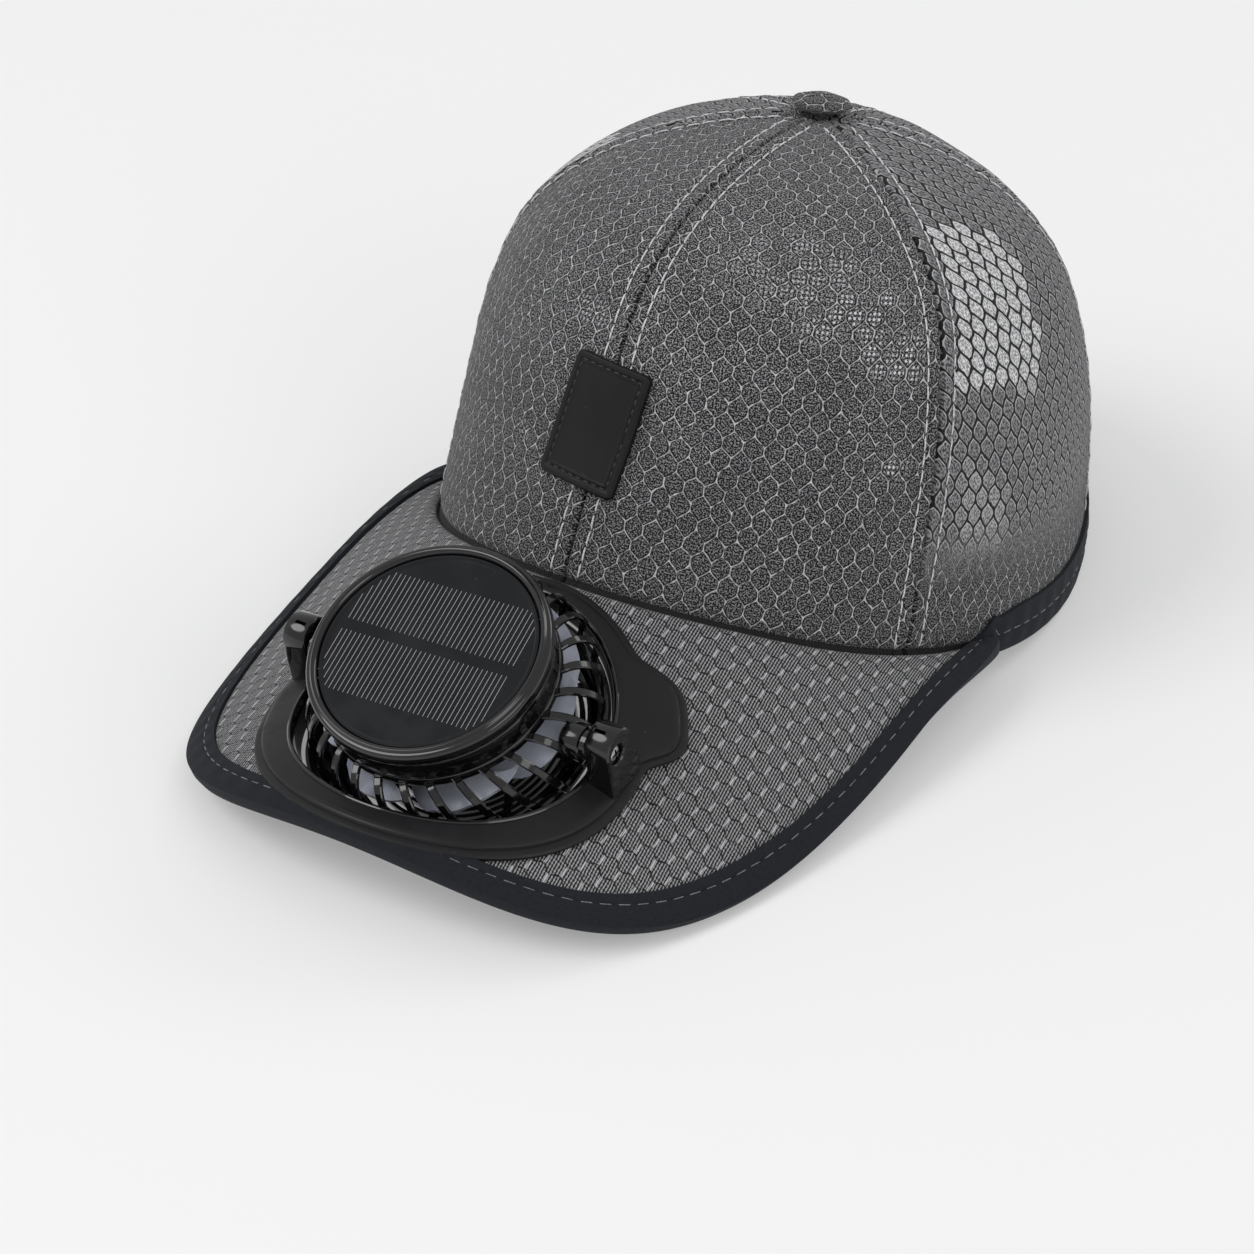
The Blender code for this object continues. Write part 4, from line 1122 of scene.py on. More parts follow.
# Rows across both faces of the tape, as (share of its width, height, swell): it sinks along its stitches
def tapeFaces(stitchShare, top, bottom):
    even = np.array([1.0, 0.94, 0.86, 0.74, 0.62, 0.55, 0.50, 0.45, 0.38, 0.26, 0.14, 0.05])
    legs = np.interp(even, (0, 0.5, 1), (0, stitchShare, 1))
    swell = 1 - (2 * even - 1) ** 2 - 0.9 * hump(even - 0.5, 0.045)
    height = edgeTape["swell"]
    upper = [(leg, top + wave * height, wave) for leg, wave in zip(legs, swell)]
    lower = [(leg, bottom - wave * height * 0.6, -wave) for leg, wave in zip(legs, swell)]
    return upper, lower[::-2]


def tapeRipple(along, pitch, drift):
    return edgeTape["ripple"] * np.sin(along * math.tau / pitch + 2 * np.sin(along * drift))


# Rings of the tape round the peak's edge; where the peak runs out the tape climbs on to the crown
def peakTape():
    edge, inward, room, squareness = edgeStations(edgeTape["peakColumns"])
    width, wall = edgeTape["width"], edgeTape["wall"]
    top = edgeTape["gap"] + wall
    bottom = -peak["thickness"] - top
    middle = (top + bottom) / 2
    wide = width / np.maximum(squareness, 0.7)
    reach = np.maximum(np.minimum(width / squareness, room - peak["thickness"] - wall), peak["gap"])
    upper, lower = tapeFaces(edgeTape["peakStitch"], top, bottom)
    rows = [(leg, 0, above, wave) for leg, above, wave in upper]
    rows += [(0, -top * 0.75, top - 0.0003, 0), (0, -top, middle, 0), (0, -top * 0.75, bottom + 0.0003, 0)]
    rows += [(leg, 0, above, wave) for leg, above, wave in lower]
    rows += [(1, 0, bottom + wall, 0), (1, 0, top - wall, 0)]
    ripple = tapeRipple(lengthsAlong(edge), *edgeTape["peakRipple"])
    around = np.linspace(-peak["endShare"], peak["endShare"], edgeTape["peakColumns"]) * peak["joinAngle"]
    lines = []
    for share, out, above, wave in rows:
        onTop = above > middle
        inset = share * (wide if onTop else reach) + out
        plan = edge + inward * inset[:, None]
        line = onPeak(plan[:, 0], plan[:, 1], above + wave * ripple)
        rise = inset - room + 0.0008
        onCrown = crownPoint(around, crownAngle(around, np.maximum(rise, 0)), above + wave * ripple)
        lines.append(np.where((rise > 0)[:, None] & onTop, onCrown, line))
    return np.stack(lines, axis=1)


# Rings of the tape round the crown's hem
def hemTape():
    start = peak["joinAngle"] + edgeTape["joinAngle"]
    around = np.linspace(start, math.tau - start, edgeTape["hemColumns"])
    rise, wall = edgeTape["rise"], edgeTape["wall"]
    top = edgeTape["gap"] + wall
    bottom = -0.0015 - top
    low = crown["tuck"] + top
    upper, lower = tapeFaces(edgeTape["hemStitch"], top, bottom)
    rows = [(leg * (low + rise) - low, out, wave) for leg, out, wave in upper]
    rows += [(-low, top - 0.0004, 0), (-low - 0.0001, (top + bottom) / 2, 0), (-low, bottom + 0.0004, 0)]
    rows += [(leg * (low + rise) - low, out, wave) for leg, out, wave in lower]
    rows += [(rise, bottom + wall, 0), (rise, top - wall, 0)]
    fromEnd = np.minimum(around - start, math.tau - start - around)
    climbing = 0.8 + 0.2 * np.sin(math.pi / 2 * np.clip(fromEnd / edgeTape["riseAngle"], 0, 1))
    ripple = 1.3 * tapeRipple(lengthsAlong(hemOutline(around)), *edgeTape["hemRipple"])
    lines = []
    for height, out, wave in rows:
        up = crownAngle(around, max(height, 0) * climbing)
        lines.append(crownPoint(around, up, out + wave * ripple, max(-height, 0)))
    return np.stack(lines, axis=1)


# Rings that carry the tape from one run to the next
def bridged(first, second, count, weight=0.9):
    t = np.linspace(0, 1, count + 2)[1:-1, None, None]
    leave = unit(first[-1] - first[-3])
    arrive = unit(second[2] - second[0])
    span = np.linalg.norm(second[0] - first[-1], axis=-1)[:, None] * weight
    a, b = first[-1], second[0]
    h00, h10, h01, h11 = 2 * t**3 - 3 * t**2 + 1, t**3 - 2 * t**2 + t, -2 * t**3 + 3 * t**2, t**3 - t**2
    return h00 * a + h10 * span * leave + h01 * b + h11 * span * arrive


def makeTape():
    onEdge, onHem = peakTape(), hemTape()
    leftTurn = bridged(onEdge, onHem, edgeTape["turnColumns"])
    rightTurn = bridged(onHem, onEdge, edgeTape["turnColumns"])
    sections = np.concatenate([onEdge, leftTurn, onHem, rightTurn])
    stitchRow = 6  # of tapeFaces
    line = sections[:, stitchRow]
    across = np.stack([lengthsAlong(ring) for ring in sections])
    place = np.stack([lengthsAlong(line)[:, None] + 0 * across, across, 0 * across], axis=-1)
    makePiece(
        "edge_tape", sections, ringFaces(sections, closed=True), "tape", attributes={"clothPlace": place},
        slot="tape", stands=["peak_binding", "hem_binding"], crease=60,
    )
    beside = sections[:, stitchRow + 1] - sections[:, stitchRow - 1]
    normals = unit(np.cross(np.gradient(line, axis=0), beside))
    if normals[len(normals) // 4, 2] < 0:
        normals = -normals
    line, normals = (np.vstack([values, values[:1]]) for values in (line, normals))
    makePiece("tape_stitches", *mergedParts(stitchParts(line, normals, tapeStitch, 71)), "grey thread")


makeTape()
print("edge tape made")


# Patch

patch = {
    "width": 0.0220,
    "height": 0.0320,
    "thickness": 0.0016,
    "rise": 0.0372,
    "lean": math.radians(6.0),
    "corner": 0.0016,
    "columns": 73,
    "rows": 101,
    "edgeRound": 0.0006,
    "grooveAt": 0.0021,
    "groove": 0.00040,
    "grooveWidth": 0.00034,
    "field": 0.00018,
    "fieldRamp": (0.0006, 0.0003),  # from the groove to where the sunken field begins, and its slope's width
    "lift": 0.0004,
}
patchStitch = {"pitch": 0.0024, "length": 0.0017, "radius": 0.00022, "lift": 0.00026}


# Crown angles of a place on the patch, which hangs from its top edge with a slight lean
def patchSpot(x, y):
    middle = crownAngle(np.array(0.0), patch["rise"])
    step = 1e-4
    perUp = 2 * step / np.linalg.norm(crownSurface(0.0, middle + step) - crownSurface(0.0, middle - step))
    perAround = step / np.linalg.norm(crownSurface(step, middle) - crownSurface(0.0, middle))
    hang = y - patch["height"] / 2
    turnedX = x * math.cos(patch["lean"]) + hang * math.sin(patch["lean"])
    turnedY = hang * math.cos(patch["lean"]) - x * math.sin(patch["lean"]) + patch["height"] / 2
    return turnedX * perAround, middle + turnedY * perUp


def roundedRectangle(x, y, halfWidth, halfHeight, corner):
    dx = np.maximum(np.abs(x) - (halfWidth - corner), 0)
    dy = np.maximum(np.abs(y) - (halfHeight - corner), 0)
    both = (dx > 0) & (dy > 0)
    scale = np.where(both, np.maximum(dx, dy) / np.maximum(np.hypot(dx, dy), 1e-9), 1)
    x = np.where(both, np.sign(x) * (halfWidth - corner + dx * scale), x)
    y = np.where(both, np.sign(y) * (halfHeight - corner + dy * scale), y)
    return x, y


# Even steps from edge to edge that get finer towards both
def eased(count, half):
    t = np.linspace(-1, 1, count)
    return np.sign(t) * (1 - (1 - np.abs(t)) ** 1.35) * half


def makePatch():
    halfWidth, halfHeight = patch["width"] / 2, patch["height"] / 2
    corner, grooveAt = patch["corner"], patch["grooveAt"]
    x, y = np.meshgrid(eased(patch["columns"], halfWidth), eased(patch["rows"], halfHeight), indexing="ij")
    x, y = roundedRectangle(x, y, halfWidth, halfHeight, corner)
    dx = np.maximum(np.abs(x) - (halfWidth - corner), 0)
    dy = np.maximum(np.abs(y) - (halfHeight - corner), 0)
    inside = np.minimum(halfWidth - np.abs(x), halfHeight - np.abs(y))
    inside = np.where((dx > 0) & (dy > 0), corner - np.hypot(dx, dy), inside)
    shoulder = np.clip(inside / patch["edgeRound"], 0, 1)
    edge = patch["thickness"] * (0.5 + 0.5 * np.sqrt(np.clip(1 - (1 - shoulder) ** 2, 0, 1)))
    groove = patch["groove"] * hump(inside - grooveAt, patch["grooveWidth"])
    fieldFrom, fieldSlope = patch["fieldRamp"]
    field = patch["field"] * np.clip((inside - grooveAt - fieldFrom) / fieldSlope, 0, 1)
    around, up = patchSpot(x, y)
    outer = crownPoint(around, up, patch["lift"] + edge - groove - field)
    inner = crownPoint(around, up, -0.0002 + 0 * x)
    makePiece(
        "patch", [outer, inner], shellFaces(*x.shape), "rubber",
        slot="rubber", stands=["label_patch"], crease=50,
    )
    t = np.linspace(0, math.tau, 500)
    halfWidth, halfHeight = halfWidth - grooveAt, halfHeight - grooveAt
    square = np.maximum(np.abs(np.cos(t)) / halfWidth, np.abs(np.sin(t)) / halfHeight)
    x, y = roundedRectangle(np.cos(t) / square, np.sin(t) / square, halfWidth, halfHeight, 0.0008)
    around, up = patchSpot(x, y)
    path = crownPoint(around, up, patch["lift"] + patch["thickness"] - patch["groove"] + 0 * x)
    parts = stitchParts(path, crownNormal(around, up), patchStitch, 5)
    makePiece("patch_stitches", *mergedParts(parts), "black thread")


makePatch()
print("patch made")


# Plate

# Places of its section: 0 at the opening or 1 at the outer edge, offset from there, height above the peak
plateSection = (
    (0, 0.0010, -0.0034), (0, 0.0001, -0.0034), (0, 0.0, -0.0030), (0, 0.0, 0.0006), (0, 0.0, 0.0022),
    (0, 0.0001, 0.0026), (0, 0.0004, 0.0028), (0, 0.0008, 0.0028), (0, 0.0011, 0.0026),
    (0, 0.0012, 0.0023), (0, 0.0015, 0.0023), (0, 0.0030, 0.0023), (0.5, 0.0, 0.0023),
    (1, -0.0042, 0.0023), (1, -0.0030, 0.0023), (1, -0.0026, 0.0022), (1, -0.0023, 0.0020),
    (1, -0.0021, 0.0016), (1, -0.0020, 0.0013), (1, -0.0016, 0.0013), (1, -0.0008, 0.0013),
    (1, -0.0004, 0.0012), (1, -0.0001, 0.0009), (1, 0.0, 0.0005), (1, -0.0001, 0.0001),
    (1, -0.0004, 0.0), (0, 0.0030, 0.0), (0, 0.0012, -0.0004),
)
plateFace = 0.0023  # height of its flat part
lipFaces = (3, 8)  # the section's faces that form the glossy lip
collar = {"inner": 0.0380, "outer": 0.0387, "depth": 0.0105, "underPivot": 0.0056, "besidePivot": 0.0105}

# Where the fan's middle meets the peak, and the peak's slope there
fanY = -(crown["halfLength"] + fan["setback"])
fanRise = peakHeight(np.array(0.0), np.array(fanY + 1e-4)) - peakHeight(np.array(0.0), np.array(fanY - 1e-4))
fanSlope = math.atan2(float(fanRise), 2e-4)
pivotPlace = np.array(hatFrame.inverted() @ headFrame.translation)
rearward = np.array([0, math.cos(fanSlope), math.sin(fanSlope)])
upward = np.array([0, -math.sin(fanSlope), math.cos(fanSlope)])


# How far an ear stands out at each angle
def ear(angle, middle):
    return np.exp(-((fromFront(angle - middle) / fan["earSpread"]) ** 4))


def plateEdge(angle):
    rear = (fan["rearRadius"] - fan["sideRadius"]) * np.clip(np.sin(angle), 0, 1) ** 2
    front = (fan["frontRadius"] - fan["sideRadius"]) * np.clip(-np.sin(angle), 0, 1) ** 2
    ears = ear(angle, fan["earAngle"]) + ear(angle, math.pi - fan["earAngle"])
    return fan["sideRadius"] + rear + front + fan["earReach"] * ears


def onPlate(radius, angle, above):
    x = radius * np.cos(angle)
    y = fanY + radius * np.sin(angle) * math.cos(fanSlope)
    return onPeak(x, y, above)


# A collar under the opening. It narrows downwards as a ball's surface does, so that the head tilts
# free of it, and starts lower beside the pivots.
def plateCollar(edge, angle):
    ahead = np.stack([np.cos(angle), 0 * angle, 0 * angle], axis=-1) + np.sin(angle)[:, None] * rearward
    edge = edge - pivotPlace
    beside = np.clip((collar["besidePivot"] - np.abs(edge @ rearward)) / 0.0030, 0, 1)
    lowered = np.maximum(edge @ upward + collar["underPivot"], 0) * beside
    depths = (0, 0.33, 0.67, 1)
    lines = []
    for radius, shares in ((collar["inner"], depths), (collar["outer"], depths[::-1])):
        for share in shares:
            spot = edge - upward * (lowered + share * collar["depth"])[:, None]
            along = (spot * ahead).sum(axis=1)
            out = np.sqrt(np.maximum(radius**2 - (spot**2).sum(axis=1) + along**2, 0)) - along
            lines.append(pivotPlace + spot + ahead * out[:, None])
    return np.stack(lines, axis=1)


# The flat plate with its two ears, a fine lip round the opening and a step below its outer edge
def makePlate():
    angle = circle(300)
    edge = plateEdge(angle)
    hole = fan["openingRadius"]
    lines = []
    for share, offset, above in plateSection:
        radius = hole + (edge - hole) * share + offset
        lines.append(onPlate(radius, angle, peak["gap"] + above + 0 * angle))
    flat = np.stack(lines, axis=1)
    below = plateCollar(onPlate(hole, angle, peak["gap"] - 0.0028 + 0 * angle), angle)
    parts = [(rings, ringFaces(rings, closed=True)) for rings in (flat, below)]
    made = makePiece(
        "plate", *mergedParts(parts), "matt plastic",
        slot="matt_plastic", stands=["fan_plate"], crease=30,
    )
    made.data.materials.append(materials["gloss plastic"])
    for polygon in made.data.polygons[:len(parts[0][1])]:
        if lipFaces[0] <= polygon.index % len(plateSection) < lipFaces[1]:
            polygon.material_index = 1


makePlate()
print("plate made")


# Pivots

pivot = {
    "innerX": 0.0408,
    "width": 0.0068,
    "screwRadius": 0.0021,
    "holeRadius": 0.0026,
    "recess": 0.0014,
    "slotWidth": 0.0030,
    "slotHeight": 0.0009,
    "slotDepth": 0.0016,
    "crown": (0.0012, 0.0008),  # middle of the lug's rounded top, rearward and upward of the screw
    "radius": 0.0054,
    "footRear": 0.0084,
    "footFront": -0.0044,
    # across the lug: share of its width, offset from there, and how far its outline is drawn in
    "levels": (
        (0, 0.0, 0.0005), (0, 0.0002, 0.0002), (0, 0.0006, 0.0),
        (1, -0.0008, 0.0), (1, -0.0003, 0.0002), (1, 0.0, 0.0007),
    ),
    "screwLevels": ((0.0, 1.0), (0.0003, 1.0), (0.0006, 0.90), (0.0008, 0.66), (0.0009, 0.3)),
    "cross": (0.0028, 0.0006, 0.0006),  # length, width and depth of the screw's cross
    "crossTurn": (math.radians(20), math.radians(110)),
}


# How far the plate's face lies below the pivot's level, at this X and this far behind the screw
def lugFoot(x, rear):
    drop = 0.0
    lift = (peak["gap"] + plateFace) / math.cos(fanSlope)
    for _ in range(12):
        spot = pivotPlace + rearward * rear - upward * drop
        drop += (spot[2] - onPeak(x, spot[1], 0.0)[2] - lift) * math.cos(fanSlope)
    return drop


# A lug that stands on the plate: round on top, wider at its foot behind the screw
def makeLug(name, side):
    middle = np.array(pivot["crown"])
    arc = np.linspace(math.radians(-8), math.radians(188), 33)
    sections = []
    for share, offset, inset in pivot["levels"]:
        x = pivot["innerX"] + share * pivot["width"] + offset
        front, rear = pivot["footFront"] + inset, pivot["footRear"] - inset
        top = middle + (pivot["radius"] - inset) * np.stack([np.cos(arc), np.sin(arc)], axis=-1)
        foot = np.array([(back, -lugFoot(x, back)) for back in np.linspace(front, rear, 5)])
        falling = [top[-1] * (1 - s) + foot[0] * s for s in (0.33, 0.67)]
        rising = [top[0] * (1 - s) + foot[-1] * s for s in (0.67, 0.33)]
        outline = np.concatenate([top, falling, foot, rising])
        sections.append(pivotPlace + (side * x, 0, 0) + outline @ np.stack([rearward, upward]))
    sections = np.array(sections)
    lug = makePiece(
        name, sections, ringFaces(sections), "gloss plastic",
        slot="matt_plastic", stands=["pivot_" + name], crease=40,
    )
    for index, shape in enumerate((screwHole(side), lugSlot(side))):
        cutOut(lug, shape, f"{name}_cut_{index}")


# Rings across the pivots' line, from (place along it, radius)
def crossRings(side, levels, steps):
    turn = circle(steps)
    ring = np.stack([0 * turn, np.cos(turn), np.sin(turn)], axis=-1)
    return np.array([pivotPlace + (side * x, 0, 0) + radius * ring for x, radius in levels])


def screwHole(side):
    outer = pivot["innerX"] + pivot["width"]
    radius = pivot["holeRadius"]
    levels = ((outer - pivot["recess"], radius), (outer - 0.0003, radius), (outer + 0.0007, radius + 0.0010))
    return crossRings(side, levels, 40)


# A box as two rings of corners: its middle, and half of each of its three sides
def boxRings(middle, first, second, third):
    corners = ((-1, -1), (1, -1), (1, 1), (-1, 1))
    return np.array([[middle + first * end + second * a + third * b for a, b in corners] for end in (-1, 1)])


def lugSlot(side):
    top = pivot["crown"][1] + pivot["radius"]
    middle = pivotPlace + (side * (pivot["innerX"] + pivot["width"] * 0.42), 0, 0) + upward * top
    across = np.array([pivot["slotWidth"] / 2, 0, 0])
    return boxRings(middle, across, rearward * pivot["slotHeight"] / 2, upward * pivot["slotDepth"])


# Cuts a closed shape out of a piece
def cutOut(piece, rings, name):
    tool = newObject(name, placed(rings.reshape(-1, 3), hatFrame), ringFaces(rings))
    tool.data.materials.append(piece.data.materials[0])
    outwardFaces(tool.data)
    modifier = piece.modifiers.new("cut", "BOOLEAN")
    modifier.operation = "DIFFERENCE"
    modifier.solver = "EXACT"
    modifier.object = tool
    bpy.context.view_layer.update()
    result = bpy.data.meshes.new_from_object(piece.evaluated_get(bpy.context.evaluated_depsgraph_get()))
    piece.modifiers.clear()
    piece.data = result
    result.shade_smooth()
    result.set_sharp_from_angle(angle=math.radians(35))
    bpy.data.objects.remove(tool)


def outwardFaces(mesh):
    work = bmesh.new()
    work.from_mesh(mesh)
    bmesh.ops.recalc_face_normals(work, faces=work.faces)
    work.to_mesh(mesh)
    work.free()


def makeScrew(name, side):
    bottom = pivot["innerX"] + pivot["width"] - pivot["recess"]
    levels = [(bottom + height, pivot["screwRadius"] * share) for height, share in pivot["screwLevels"]]
    sections = crossRings(side, levels, 32)
    screw = makePiece(
        name, sections, ringFaces(sections), "screw metal",
        slot="screw_metal", stands=["pivot_" + name], crease=30,
    )
    length, width, depth = pivot["cross"]
    middle = pivotPlace + (side * levels[-1][0], 0, 0)
    for index, lean in enumerate(pivot["crossTurn"]):
        along = np.array([0, math.cos(lean), math.sin(lean)]) * length / 2
        across = np.array([0, -math.sin(lean), math.cos(lean)]) * width / 2
        box = boxRings(middle, np.array([side * depth, 0, 0]), along, across)
        cutOut(screw, box, f"{name}_cross_{index}")


for side, place in ((1, "left"), (-1, "right")):
    makeLug(f"lug_{place}", side)
    makeScrew(f"screw_{place}", side)
print("pivots made")


# Fan head

head = {
    "ribs": 28,
    "ribWidth": 0.0020,
    "ribDepth": 0.0012,
    "ribSweep": math.radians(16),
    "hoops": 13,
    "hoop": (0.00045, 0.0010, -0.0013),  # half its width, and its reach above and below its line
    "spokes": 8,
    "spokeWidth": 0.0024,
    "spokeDepth": 0.0014,
    "spokeSweep": 0.5,
    "top": 0.0082,
    "housingHeight": 0.0064,
    "rimRadius": 0.0303,
    "rimWidth": 0.0030,
    "rimHeight": 0.0050,
    "panelThickness": 0.0036,
    "gap": 0.0003,
    "steps": 128,
}
# A bar's rounded section, as shares of its width and depth
barSection = (
    (-0.5, -0.28), (-0.36, -0.5), (0.36, -0.5), (0.5, -0.28),
    (0.5, 0.28), (0.36, 0.5), (-0.36, 0.5), (-0.5, 0.28),
)
# Lines of the guard, as (radius, height) in metres
guardLines = {
    "rib": (
        (0.0282, 0.0068), (0.0300, 0.0070), (0.0324, 0.0062), (0.0344, 0.0042), (0.0357, 0.0012),
        (0.0364, -0.0024), (0.0362, -0.0064), (0.0352, -0.0104), (0.0336, -0.0140),
    ),
    "band": (
        (0.0336, -0.0118), (0.0344, -0.0120), (0.0346, -0.0126), (0.0334, -0.0156), (0.0326, -0.0170),
        (0.0308, -0.0176), (0.0300, -0.0172), (0.0318, -0.0154), (0.0328, -0.0136), (0.0331, -0.0122),
    ),
    "skirt": (
        (0.0262, 0.0084), (0.0292, 0.0084), (0.0293, 0.0083), (0.0294, 0.0074), (0.0295, 0.0062),
        (0.0294, 0.0058), (0.0291, 0.0056), (0.0282, 0.0056), (0.0279, 0.0060), (0.0278, 0.0076),
        (0.0262, 0.0078),
    ),
    "under": ((0.0308, -0.0172), (0.0240, -0.0184), (0.0150, -0.0190), (0.0046, -0.0192)),
    "hoops": ((0.0300, -0.0168), (0.0200, -0.0186), (0.0058, -0.0192)),
}


# Points along a line of (radius, height), evenly by its knots and rounded where it bends
def smoothLine(knots, count):
    knots = np.array(knots)
    at = np.linspace(0, len(knots) - 1, count)
    line = np.stack([np.interp(at, np.arange(len(knots)), knots[:, k]) for k in (0, 1)], axis=-1)
    for _ in range(2):
        line[1:-1] = (line[:-2] + 2 * line[1:-1] + line[2:]) / 4
    return line


# A bar of the given section that follows a line of (radius, height) while it turns about the axis
def bar(line, start, sweep, width, depth):
    t = np.linspace(0, 1, len(line))
    angle = start + sweep * t
    path = np.stack([line[:, 0] * np.cos(angle), line[:, 0] * np.sin(angle), line[:, 1]], axis=-1)
    along = unit(np.gradient(path, axis=0))
    tangent = np.stack([-np.sin(angle), np.cos(angle), 0 * angle], axis=-1)
    side = unit(tangent - along * (tangent * along).sum(axis=1, keepdims=True))
    normal = np.cross(side, along)
    shape = np.array(barSection) * (width, depth)
    sections = path[:, None] + side[:, None] * shape[:, :1] + normal[:, None] * shape[:, 1:]
    return sections, ringFaces(sections)


def headPiece(name, points, faces, material, node=None, body="fan_head", slot="gloss_plastic", crease=35):
    stands = [node] if node else ()
    makePiece(name, points, faces, material, headFrame, body, slot=slot, stands=stands, crease=crease)


# A closed ring turned about the fan's axis
def turnedRing(line, steps):
    rings = lathe(line, steps)
    return rings, ringFaces(rings, closed=True)


# A line of (radius, end, offset) at heights that start from one of two levels
def atLevels(line, *levels):
    return [(radius, levels[end] + offset) for radius, end, offset in line]


# The cage round the blades: a smooth skirt on top, curved ribs, a deep band, and a spider with hoops below
def makeGuard():
    parts = []
    ribLine = smoothLine(guardLines["rib"], 16)
    for index in range(head["ribs"]):
        start = (index + 0.5) * math.tau / head["ribs"] - head["ribSweep"] / 2
        parts.append(bar(ribLine, start, head["ribSweep"], head["ribWidth"], head["ribDepth"]))
    for name in ("band", "skirt"):
        parts.append(turnedRing(guardLines[name], head["steps"]))
    spoke = smoothLine(guardLines["under"], 12)
    for start in circle(head["spokes"]):
        parts.append(bar(spoke, start, head["spokeSweep"], head["spokeWidth"], head["spokeDepth"]))
    line = np.array(guardLines["hoops"])[::-1]
    half, above, below = head["hoop"]
    for radius in np.linspace(line[0, 0], line[-1, 0], head["hoops"]):
        height = np.interp(radius, line[:, 0], line[:, 1])
        corners = ((-half, below), (half, below), (half, above), (-half, above))
        parts.append(turnedRing([(radius + x, height + y) for x, y in corners], head["steps"] // 2))
    headPiece("guard", *mergedParts(parts), "gloss plastic", "fan_guard", crease=40)


# The cap over the motor and the motor's shaft: radius, and height from the cap's foot (0) or top (1)
housingLine = (
    (0.0288, 1, 0.0), (0.0291, 1, -0.0003), (0.0292, 1, -0.0008), (0.0293, 1, -0.0020), (0.0293, 0, 0.0010),
    (0.0292, 0, 0.0003), (0.0288, 0, 0.0), (0.0270, 0, 0.0), (0.0262, 0, 0.0006), (0.0258, 1, -0.0020),
    (0.0110, 1, -0.0021), (0.0105, 1, -0.0026), (0.0105, 0, -0.0073), (0.0100, 0, -0.0079), (0.0012, 0, -0.0079),
    (0.0012, 0, -0.0180), (0.0006, 0, -0.0180), (0.0006, 1, 0.0),
)


def makeHousing():
    foot = head["top"] + head["gap"]
    line = atLevels(housingLine, foot, foot + head["housingHeight"])
    headPiece("housing", *turnedRing(line, head["steps"]), "gloss plastic", "solar_housing")


# The raised ring round the solar disc: shares of its width in from its edge, and shares of its height
rimLine = (
    (1.0, 0.0), (1.0, 0.66), (0.98, 0.80), (0.90, 0.90), (0.78, 0.97), (0.66, 1.0), (0.56, 0.99),
    (0.48, 0.94), (0.42, 0.88), (0.36, 0.86), (0.27, 0.86), (0.16, 0.83), (0.06, 0.76), (0.01, 0.68),
    (0.0, 0.58), (0.0, 0.30), (0.02, 0.20), (0.08, 0.12), (0.20, 0.06), (0.30, 0.04), (0.31, 0.0),
)
solarSeat = head["top"] + 2 * head["gap"] + head["housingHeight"]


def makeRim():
    radius, width, height = head["rimRadius"], head["rimWidth"], head["rimHeight"]
    line = [(radius - width * inward, solarSeat + height * up) for inward, up in rimLine]
    headPiece("rim", *turnedRing(line, head["steps"]), "gloss plastic", "solar_rim")


# The disc's section: share of its radius, offset from there, and height from its seat (0) or face (1)
discLine = (
    (0, 0.00001, 0, 0.0), (1, 0.0, 0, 0.0), (1, 0.0, 1, 0.0), (1, -0.0002, 1, 0.0004), (1, -0.0008, 1, 0.0004),
    (1, -0.0012, 1, 0.0001), (1, -0.0014, 1, 0.0), (1, -0.0017, 1, 0.0), (0.5, 0.0, 1, 0.0), (0, 0.00001, 1, 0.0),
)
solar = {
    "gap": 0.0001,  # between disc and rim
    "sunk": 0.0002,
    "halfWidth": 0.0230,
    "shift": -0.0010,
    "lineDepth": (-0.0001, 0.00004),  # from the disc's face
    "rows": ((0.0024, 0.0176), (-0.0168, -0.0007)),
    "lines": 36,
    "lineWidth": 0.00012,
    "turn": math.radians(3.3),
}


# The dark disc with its raised edge, and the fine pale lines printed on it in two rows
def makeSolarPanel():
    radius = head["rimRadius"] - head["rimWidth"] - solar["gap"]
    face = solarSeat + head["panelThickness"] - solar["sunk"]
    line = [(radius * share + shift, end, offset) for share, shift, end, offset in discLine]
    disc = turnedRing(atLevels(line, solarSeat, face), head["steps"])
    headPiece("solar_disc", *disc, "solar cell", "solar_panel", slot="solar_cell", crease=15)
    parts = []
    cos, sin = math.cos(solar["turn"]), math.sin(solar["turn"])
    aside, along = np.array([cos, sin, 0]), np.array([-sin, cos, 0])
    low, high = solar["lineDepth"]
    deep = np.array([0, 0, (high - low) / 2])
    for start, end in solar["rows"]:
        for x in solar["shift"] + np.linspace(-solar["halfWidth"], solar["halfWidth"], solar["lines"]):
            middle = aside * x + along * (start + end) / 2 + (0, 0, face + (low + high) / 2)
            box = boxRings(middle, deep, aside * solar["lineWidth"] / 2, along * (end - start) / 2)
            parts.append((box, ringFaces(box)))
    headPiece("solar_lines", *mergedParts(parts), "silver print", slot="solar_cell")


# A pivot boss: radius, and place from its inner (0) or outer end (1)
bossLine = (
    (0.00001, 0, 0.0), (0.0040, 0, 0.0), (0.0044, 0, 0.0004), (0.0044, 0, 0.0046), (0.0042, 0, 0.0052),
    (0.0037, 0, 0.0055), (0.0037, 1, -0.0004), (0.0034, 1, 0.0), (0.00001, 1, 0.0),
)
bossEnds = (0.0334, pivot["innerX"] - 0.0002)


def makeBoss(name, side):
    rings, faces = turnedRing(atLevels(bossLine, *bossEnds), 48)
    rings = np.stack([side * rings[..., 2], side * rings[..., 0], rings[..., 1]], axis=-1)
    headPiece(name, rings, faces, "gloss plastic", "pivot_" + name)


